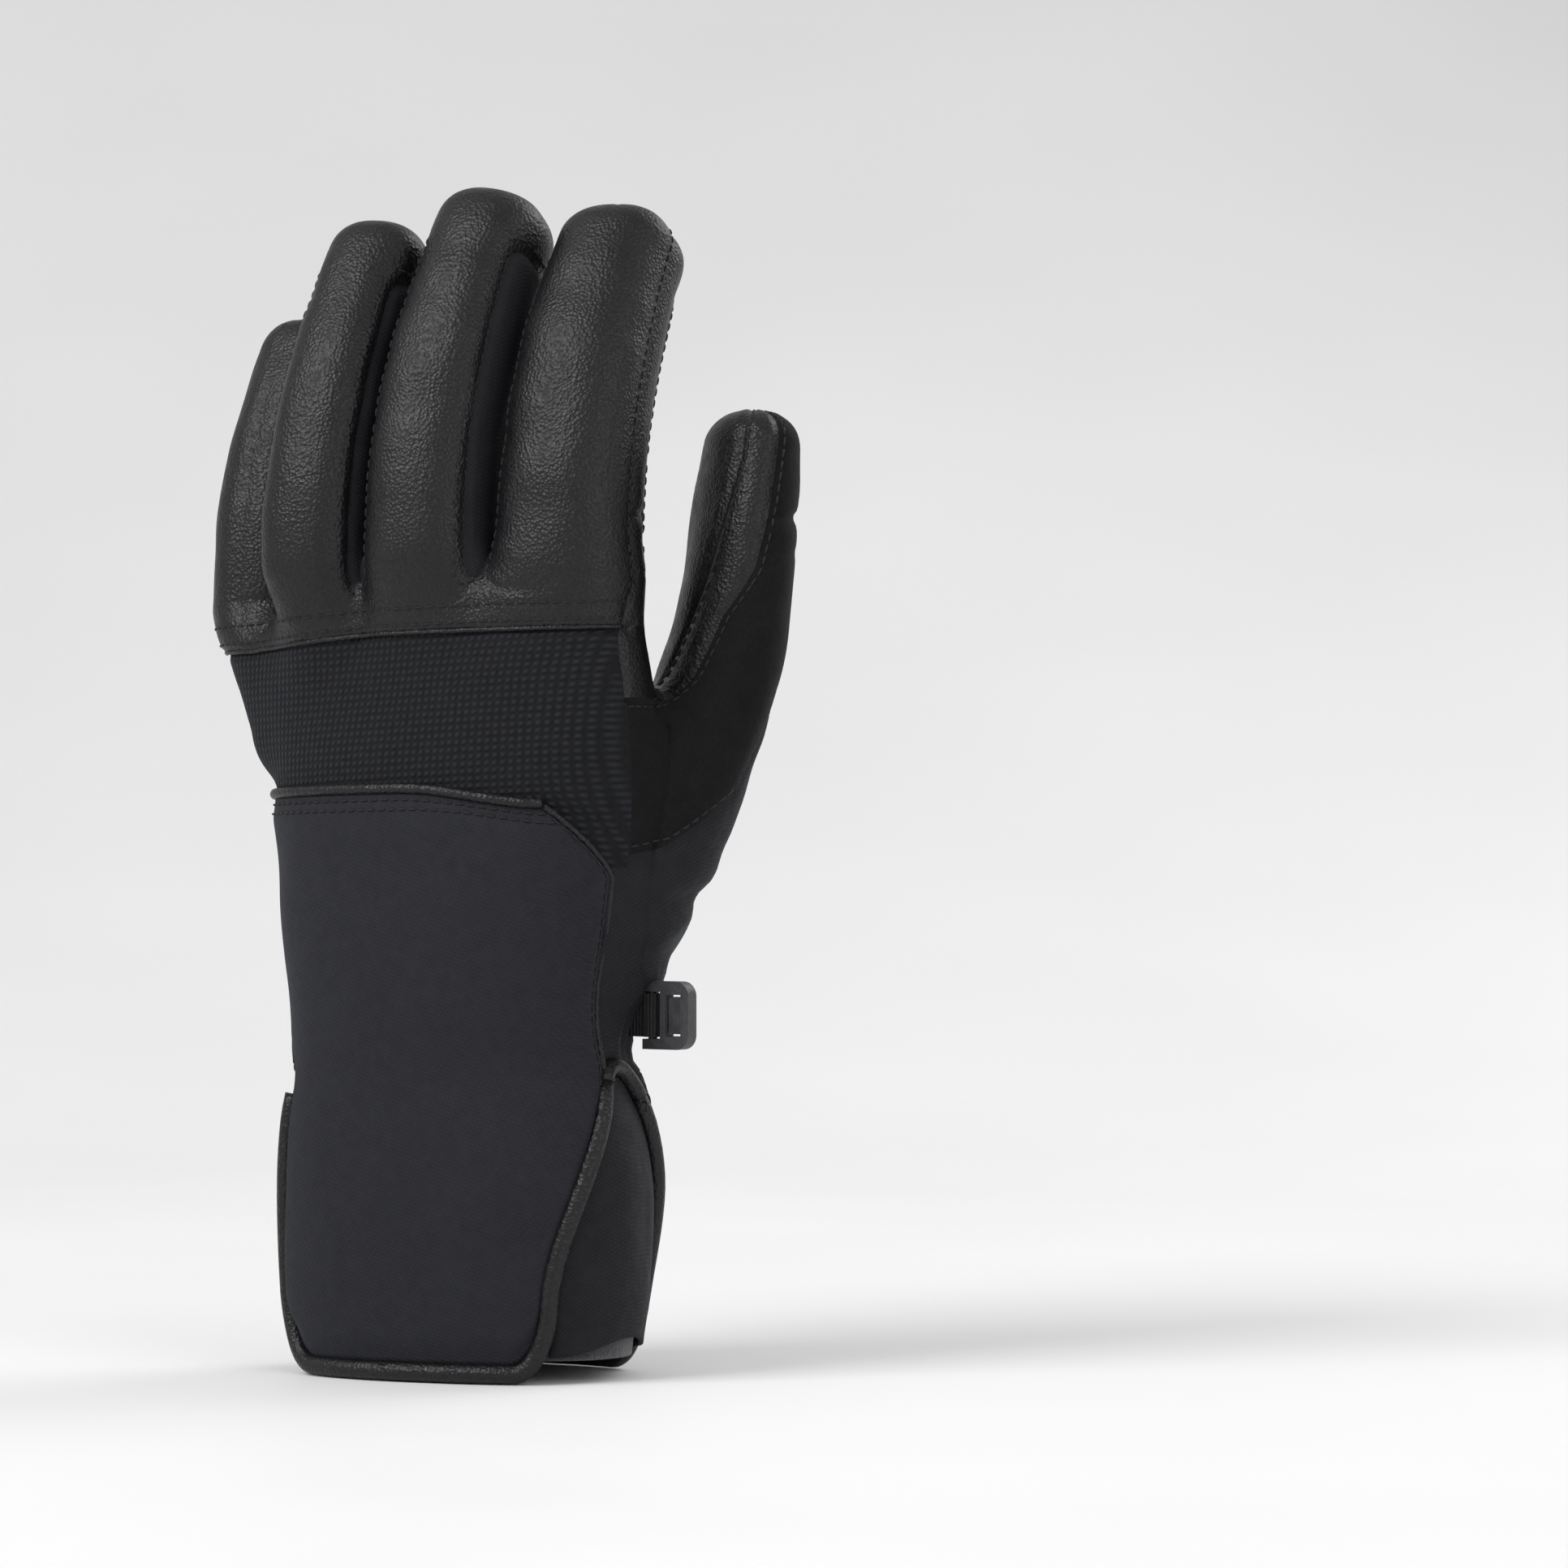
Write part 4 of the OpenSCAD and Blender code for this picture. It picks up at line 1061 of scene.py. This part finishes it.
def sew(points, faces, fields, normals, panel, part, keep):
    """Rows of stitches beside the seams: field, offset in millimetres and the panels they lie on."""
    rows = [
        ("hem", 2.2, ("yoke",)), ("hem", 6.4, ("yoke",)),
        ("strip_left", -1.8, ("palm",)), ("strip_right", 2.0, ("shell",)),
        ("strip_left", 2.0, ("strip",)),
        ("palm", 2.0, ("palm",)), ("side", -2.0, ("yoke",)),
        ("suede", 1.9, ("suede",)), ("thumb_strip", 1.8, ("thumb_back",)), ("leaf", 1.3, ("leaf",)),
    ]
    found = {}
    for key, offset, panels in rows:
        for line, owners in iso_chains(points, faces, fields[:, COL[key]] - offset):
            good = keep[owners] & np.isin(panel[owners].astype(str), panels)
            where = faces[owners, 0]
            for start, stop in runs(good, part[owners]):
                piece = line[start:stop]
                for stitch in stitch_line(piece, normals[where[start:stop]]):
                    found.setdefault(part[owners[start]], []).append(stitch)
    for body in sorted(found):
        settle(join_stitches(body + "_stitches", found[body]), body)
    # the back leather's turned hem
    folds = []
    for line, owners in iso_chains(points, faces, fields[:, COL["hem"]] - 0.35):
        good = keep[owners] & (panel[owners] == "yoke") & (part[owners] == "hand")
        for start, stop in runs(good, part[owners]):
            if stop - start > 20:
                folds.append(line[start:stop] + normals[faces[owners[start:stop], 0]] * 0.15)
    for i, line in enumerate(sorted(folds, key=len, reverse=True)[:2]):
        settle(tube("yoke_hem_fold_%d" % (i + 1), evened(line, 1.0), 0.62, "leather"), "hand")


def evened(line, step):
    """A line's points again at an even spacing, eased a little."""
    s = np.concatenate([[0], np.cumsum(np.linalg.norm(np.diff(line, axis=0), axis=1))])
    at = np.linspace(0, s[-1], max(4, int(s[-1] / step)))
    line = np.stack([np.interp(at, s, line[:, i]) for i in range(3)], 1)
    for _ in range(3):
        line[1:-1] = line[1:-1] * 0.5 + (line[:-2] + line[2:]) * 0.25
    return line


def runs(good, owner):
    """Start and stop of each stretch that is good and stays on one body."""
    out = []
    start = None
    for i in range(len(good) + 1):
        ends = i == len(good) or not good[i] or (start is not None and owner[i] != owner[start])
        if start is not None and ends:
            if i - start > 6:
                out.append((start, i))
            start = None
        if start is None and i < len(good) and good[i]:
            start = i
    return out


def on_hand(turn, z, depth):
    """A point of the hand's or the cuff's outer form, sunk by a depth."""
    turn, z, depth = np.broadcast_arrays(*(np.asarray(a, float) for a in (turn, z, depth)))
    s = catmull(SECTIONS, z)
    c, w = np.cos(np.radians(turn)), np.sin(np.radians(turn))
    u = (s[..., 3] - depth) * np.sign(c) * np.abs(c) ** PANEL_POWER
    v = (s[..., 4] - depth) * np.sign(w) * np.abs(w) ** PANEL_POWER
    cs, sn = np.cos(np.radians(s[..., 5])), np.sin(np.radians(s[..., 5]))
    return np.stack([s[..., 1] + u * cs + v * sn, s[..., 2] - u * sn + v * cs, z], -1)


def plate(name, turns, zs, outer, inner, slot, closed=False, **extra):
    """A sheet with a thickness: grids of turns, heights and outer depths, with an inner depth."""
    front = on_hand(turns, zs, outer)
    back = on_hand(turns, zs, inner)
    rows, cols = front.shape[:2]
    points = np.concatenate([front.reshape(-1, 3), back.reshape(-1, 3)])
    n = rows * cols
    faces = []
    index = lambda i, j: i * cols + j % cols
    last = cols if closed else cols - 1
    for i in range(rows - 1):
        for j in range(last):
            a, b, c, d = index(i, j), index(i, j + 1), index(i + 1, j + 1), index(i + 1, j)
            faces.append((a, b, c, d))
            faces.append((n + d, n + c, n + b, n + a))
    for j in range(last):
        for i, order in ((0, -1), (rows - 1, 1)):
            a, b = index(i, j), index(i, j + 1)
            faces.append((a, b, n + b, n + a)[::order])
    if not closed:
        for i in range(rows - 1):
            for j, order in ((0, 1), (cols - 1, -1)):
                a, b = index(i, j), index(i + 1, j)
                faces.append((a, b, n + b, n + a)[::order])
    return make(name, points, faces, slot, **extra)


def tube(name, line, radius, slot, **extra):
    """A round tube along a line."""
    line = np.asarray(line, float)
    ways = np.gradient(line, axis=0)
    ways = ways / np.linalg.norm(ways, axis=1)[:, None]
    sides = 14
    up = np.cross(ways[0], (0.3, 0.2, 0.93))
    points = []
    for p, way in zip(line, ways):
        up = up - (up @ way) * way
        up = up / np.linalg.norm(up)
        side = np.cross(way, up)
        for k in range(sides):
            turn = 2 * math.pi * k / sides
            points.append(p + (up * math.cos(turn) + side * math.sin(turn)) * radius)
    return make(name, points, ring_faces(len(line), sides), slot, **extra)


# ---------------------------------------------------------------- the cuff
PIPING_R = 2.3
HEM_Z = PIPING_R * math.cos(math.radians(22.5))
INSET = 3.4                      # degrees between a panel's edge and its piping
CLOTH = 1.5                      # thickness of the cuff's two panels
BACK_TURNS = (206, 334)          # where the two panels start and end round the hem, in degrees
PALM_TURNS = (22, 158)
CORNER_TURN, CORNER_RISE = 20, 17


def back_edge(z):
    return 309 + 43 * np.clip((z - 19) / 58, 0, 1) ** 1.7


def palm_edge(z):
    return 40 - 36 * np.clip((z - 17) / 60, 0, 1) ** 1.3


def drift(turns, zs):
    """On the thumb side both pipings lean together from the hem to the wrist."""
    to_back = turns + (turns - 270) / (BACK_TURNS[1] - 270) * (back_edge(zs) - BACK_TURNS[1])
    to_palm = turns + (90 - turns) / (90 - PALM_TURNS[0]) * (palm_edge(zs) - PALM_TURNS[0])
    return np.where(turns > 270, to_back, np.where(turns < 90, to_palm, turns))


def piping_line(first, last, top_first, top_last):
    """The rolled edge: down one side, round the corners, along the hem and up the other side."""
    way = math.copysign(1, last - first)
    lead = np.linspace(0, 1, 15) * math.pi / 2
    corner_z = HEM_Z + CORNER_RISE

    def rounded(at, way, angles):
        return [(at + way * CORNER_TURN * (1 - math.cos(a)), HEM_Z + CORNER_RISE * (1 - math.sin(a)))
                for a in angles]

    rows = [(first, z) for z in np.linspace(top_first, corner_z, 16)]
    rows += rounded(first, way, lead[1:])
    hem = np.linspace(first + way * CORNER_TURN, last - way * CORNER_TURN, 46)[1:-1]
    rows += [(turn, HEM_Z) for turn in hem]
    rows += rounded(last, -way, lead[:0:-1])
    rows += [(last, z) for z in np.linspace(corner_z, top_last, 16)]
    rows = np.array(rows)
    return on_hand(drift(rows[:, 0], rows[:, 1]), rows[:, 1], 0.8)


def foot(turns, first, last):
    """The height of a panel's lower edge just above its piping."""
    share = np.clip((np.minimum(turns - first, last - turns) - INSET) / CORNER_TURN, 0, 1)
    return HEM_Z + 2.2 + CORNER_RISE * (1 - np.sqrt(np.maximum(1 - (1 - share) ** 2, 0)))


def grid(cols, rows):
    """Shares across and up a panel, as a row and a column."""
    return np.linspace(0, 1, cols)[None, :], np.linspace(0, 1, rows)[:, None]


def panel_grid(cols, rows, ends, top):
    """Shares, turns and heights of a cuff panel, from its foot inside the piping to its top edge."""
    s, t = grid(cols, rows)
    turns = ends[0] + INSET * 0.6 + (ends[1] - ends[0] - INSET * 1.2) * s + 0 * t
    low = foot(turns, *ends)
    return s, t, turns, low + (top(s) - low) * t


def cloth_noise(turns, zs, size, seed, depth=0):
    """Noise over a panel that lies on the hand's outer form."""
    return noise(on_hand(turns, zs, depth).reshape(-1, 3), size, seed).reshape(turns.shape)


def crown(s, t, side, low, high):
    """One inside a panel, falling to zero at its edges."""
    return smooth(0, side, s) * smooth(0, side, 1 - s) * smooth(0, low, t) * smooth(0, high, 1 - t)


def build_pipings():
    tube("back_cuff_piping", piping_line(*BACK_TURNS[::-1], 72, 68), PIPING_R, "leather", body="cuff",
         replaces=("back_panel_piping",))
    tube("palm_cuff_piping", piping_line(*PALM_TURNS, 68, 65), PIPING_R, "leather", body="cuff",
         replaces=("palm_panel_piping",))
    # the two meet in an arch over the thumb side's gusset
    share = np.linspace(0, 1, 22)
    start, end = back_edge(72.0) - 360, palm_edge(68.0)
    rise = 72 - 4 * share + 5.5 * np.sin(share * math.pi) ** 0.7
    arch = on_hand(start + (end - start) * share, rise, 0.4)
    tube("gusset_arch_piping", arch, PIPING_R * 0.96, "leather", body="cuff")


def build_palm_panel():
    s, t, turns, zs = panel_grid(92, 60, PALM_TURNS, lambda s: 69.5 - 2.0 * s)
    soft = cloth_noise(turns, zs, 24, 31) * 0.7 + cloth_noise(turns, zs, 10, 32) * 0.3
    outer = 0.9 - crown(s, t, 0.06, 0.10, 0.08) * (1.1 + soft)
    panel = plate("cuff_palm_panel", drift(turns, zs), zs, outer, outer + CLOTH, "neoprene",
                  replaces=("palm_cuff_panel",))
    wrist_bend(panel)


def build_back_panel():
    """One patch from the hem to the knit band, with its welt, turned edges and stitches."""
    def top_edge(share):
        return 141.2 + 2.6 * share - 4.5 * smooth(0.66, 1.0, share)

    rows = 120
    s, t, turns, zs = panel_grid(120, rows, BACK_TURNS, top_edge)
    left = 208 - 19 * smooth(70, 92, zs)
    right = 345 - patch_lean(zs)
    high = smooth(64, 84, zs)
    turns = drift(turns, zs) * (1 - high) + (left + (right - left) * s) * high
    soft = cloth_noise(turns, zs, 30, 33) * 0.9 + cloth_noise(turns, zs, 12, 34) * 0.35
    pinch = bell(zs - 80, 9) * 0.5
    outer = 0.9 - 2.2 * high - crown(s, t, 0.05, 0.05, 0.05) * (1.1 + soft - pinch)
    patch = plate("cuff_back_panel", turns, zs, outer, outer + CLOTH, "softshell", material=CUFF_FABRIC,
                  replaces=("back_cuff_panel_lower", "back_cuff_panel_upper"))
    wrist_bend(patch)

    def on_patch(pick, depth, lift=0.0):
        return on_hand(turns[pick], zs[pick] + lift, outer[pick] + depth)

    wrist_bend(tube("cuff_top_welt", on_patch(-1, 0.1, 0.4), 1.35, "leather", replaces=("cuff_welt",)))
    k = int(np.searchsorted(zs[:, -1], 74))
    for name, column in (("cuff_edge_thumb_side", -1), ("cuff_edge_little_side", 0)):
        wrist_bend(tube(name, on_patch((slice(k, None), column), 0.2), 0.85, "leather"))
    picks = [int(round((1 - shift / 138) * (rows - 1))) for shift in (2.2, 4.6)]
    picks += [(slice(k, -3), column) for column in (2, -4)]
    stitches = []
    for pick in picks:
        line = on_patch(pick, -0.1)
        stitches += stitch_line(line, outward(line))
    wrist_bend(join_stitches("cuff_back_stitches", stitches, "softshell"))


def build_gussets():
    """Between the two panels, folded inwards."""
    gussets = (("cuff_gusset_thumb_side", -24.5, 20.5, 78), ("cuff_gusset_little_side", 159.5, 204.5, 79))
    for name, first, last, top in gussets:
        s, t = grid(26, 60)
        fold = np.sin(s * math.pi) ** 2
        zs = (6 + 4 * fold) + (top - 6 - 4 * fold) * t
        turns = first + (last - first) * s + 0 * t
        if first < 0:
            low_edge = np.minimum(back_edge(zs) - 358, -12)
            high_edge = np.maximum(palm_edge(zs) - 2, 10)
            turns = low_edge + (high_edge - low_edge) * s
        soft = cloth_noise(turns, zs, 8, 35) * 0.35
        outer = 2.0 + 0.5 * fold * (1 - t) + soft * fold - 1.4 * smooth(0.85, 1.0, t)
        wrist_bend(plate(name, turns, zs, outer, outer + 1.1, "softshell",
                         replaces=("cuff_gussets",) if first < 0 else ()))


def build_cuff_lining():
    """The brushed sleeve inside the mouth, and the turned hems that join the shells to it."""
    _, t = grid(2, 60)
    turns = np.linspace(0, 360, 145)[None, :-1] + 0 * t
    zs = 5 + 74 * t + 0 * turns
    outer = 4.9 + cloth_noise(turns, zs, 9, 36, depth=6) * 0.5
    lining = plate("cuff_lining_sleeve", turns, zs, outer, outer + 1.4, "lining", closed=True,
                   replaces=("cuff_lining",))
    wrist_bend(lining)
    for name, (first, last) in (("hem_facing_back", BACK_TURNS), ("hem_facing_palm", PALM_TURNS)):
        s, t = grid(70, 6)
        turns = first + 3 + (last - first - 6) * s + 0 * t
        zs = foot(turns, first, last) + np.linspace(-1.2, 3.5, 6)[:, None]
        turns = drift(turns, zs)
        depth = np.linspace(1.8, 3.6, 6)[:, None] + 0 * turns
        plate(name, turns, zs, depth, depth + 1.4, "lining", body="cuff")


def outward(line):
    """Outward directions, square to the hand's outer form, at points on it."""
    c = catmull(SECTIONS, line[:, 2])
    across, deep = (line[:, 0] - c[:, 1]) / c[:, 3] ** 2, (line[:, 1] - c[:, 2]) / c[:, 4] ** 2
    way = np.stack([across, deep, 0 * across], 1)
    return way / np.linalg.norm(way, axis=1)[:, None]


def build_strap():
    """The pull strap's loop across the palm side of the cuff, tacked down at both ends."""
    _, t = grid(2, 14)
    angle = np.linspace(45, 140, 90)[None, :] + 0 * t
    s = np.clip((angle - 90) / 52, -1, 1)
    off = 7 * np.maximum(np.cos(np.radians(90 * s)), 0) ** 1.2
    zs = 20 + 10.2 * t - 12 * (1 - s ** 2)
    swell = 0.25 * np.sin(t * math.pi)
    plate("pull_strap_loop", angle, zs, -1.9 - off - swell, -0.5 - off, "webbing", body="cuff",
          replaces=("pull_strap",))
    stitches = []
    for first, last in ((45.8, 47.8), (137.2, 139.2)):
        for z in np.linspace(18.5, 28.5, 6):
            line = on_hand(np.linspace(first, last, 5), np.full(5, z), np.full(5, -2.05))
            stitches += stitch_line(line, outward(line), pitch=1.6, length=1.5, radius=0.22, lift=0.0)
    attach(join_stitches("strap_bar_tacks", stitches, "webbing"), "cuff")


def build_label():
    """The woven label beside the palm panel's edge."""
    s, t = grid(16, 30)
    turns = 143 + 8 * s + 0 * t
    zs = 34.5 + 25 * t + 0 * turns
    lift = cloth_noise(turns, zs, 9, 37) * 0.25
    plate("care_label", turns, zs, -1.5 + lift, -0.5 + lift, "label", body="cuff",
          replaces=("woven_label",))


build_skin()
build_pipings()
build_palm_panel()
build_back_panel()
build_gussets()
build_cuff_lining()
build_strap()
build_label()

# CAD pieces that show as they are take their finish from their slot
SUBPARTS = {part["node"]: part["material_slot"] for part in frame["record"]["subparts"]}
for node, obj in frame["nodes"].items():
    finish = SLOTS[SUBPARTS[node]]
    if not obj.material_slots:
        obj.data.materials.append(finish)
    for held in obj.material_slots:
        held.material = finish


# ---------------------------------------------------------------- the stage
def pale(name, low, high, rough):
    m = Nodes(name)
    m.colour(m.noise(0.35, 2), low, high)
    m.rough(m.noise(0.2), rough - 0.05, rough + 0.05)
    return m.material


def stage_plane():
    """A pale floor that curves up far behind the glove."""
    half, back, sweep = 30.0, 0.7, 1.8
    rows = [(-half, 0.0), (back, 0.0)]
    for a in np.linspace(0.05, math.pi / 2, 30):
        rows.append((back + sweep * math.sin(a), sweep * (1 - math.cos(a))))
    rows += [(back + sweep, 4.0)]
    points, faces = [], []
    for y, z in rows:
        points += [(-half, y, z - 0.0004), (half, y, z - 0.0004)]
    for i in range(len(rows) - 1):
        faces.append((2 * i, 2 * i + 1, 2 * i + 3, 2 * i + 2))
    mesh = bpy.data.meshes.new("floor")
    mesh.from_pydata(points, [], faces)
    for polygon in mesh.polygons:
        polygon.use_smooth = True
    mesh.materials.append(pale("pale_floor", (0.80, 0.80, 0.80), (0.84, 0.84, 0.84), 0.6))
    obj = bpy.data.objects.new("floor", mesh)
    bpy.context.scene.collection.objects.link(obj)
    obj.rotation_euler = (0, 0, math.radians(CAMERA_TURN))


CAMERA_TURN = 22.0
AIM_SIDE, AIM_Z = 77.0, 144.4


def stage_camera():
    turn = math.radians(CAMERA_TURN)
    side = Vector((math.cos(turn), math.sin(turn), 0))
    ahead = Vector((-math.sin(turn), math.cos(turn), 0))
    target = side * AIM_SIDE / 1000 + Vector((0, 0, AIM_Z / 1000))
    camera = bpy.data.objects.new("camera", bpy.data.cameras.new("camera"))
    bpy.context.scene.collection.objects.link(camera)
    camera.data.lens = 140
    camera.data.sensor_width = 36
    camera.location = target - ahead * 1.5
    camera.rotation_euler = ahead.to_track_quat("-Z", "Y").to_euler()
    bpy.context.scene.camera = camera


def area(name, place, aim, size, watts):
    light = bpy.data.objects.new(name, bpy.data.lights.new(name, "AREA"))
    light.data.shape = "RECTANGLE"
    light.data.size, light.data.size_y = size
    light.data.energy = watts
    light.location = place
    light.rotation_euler = (Vector(aim) - Vector(place)).to_track_quat("-Z", "Y").to_euler()
    bpy.context.scene.collection.objects.link(light)


stage_plane()
stage_camera()
area("key", (-0.9, -1.3, 1.5), (0, 0, 0.15), (1.0, 1.0), 30)
area("fill", (1.6, -0.9, 0.8), (0, 0, 0.15), (1.2, 1.2), 9)
area("rim", (0.7, 1.2, 1.1), (0, 0, 0.2), (0.9, 0.9), 9)
world = bpy.data.worlds.new("studio")
world.use_nodes = True
world.node_tree.nodes["Background"].inputs["Color"].default_value = (0.92, 0.92, 0.92, 1)
world.node_tree.nodes["Background"].inputs["Strength"].default_value = 0.62
bpy.context.scene.world = world
bpy.context.scene.view_settings.view_transform = "Standard"
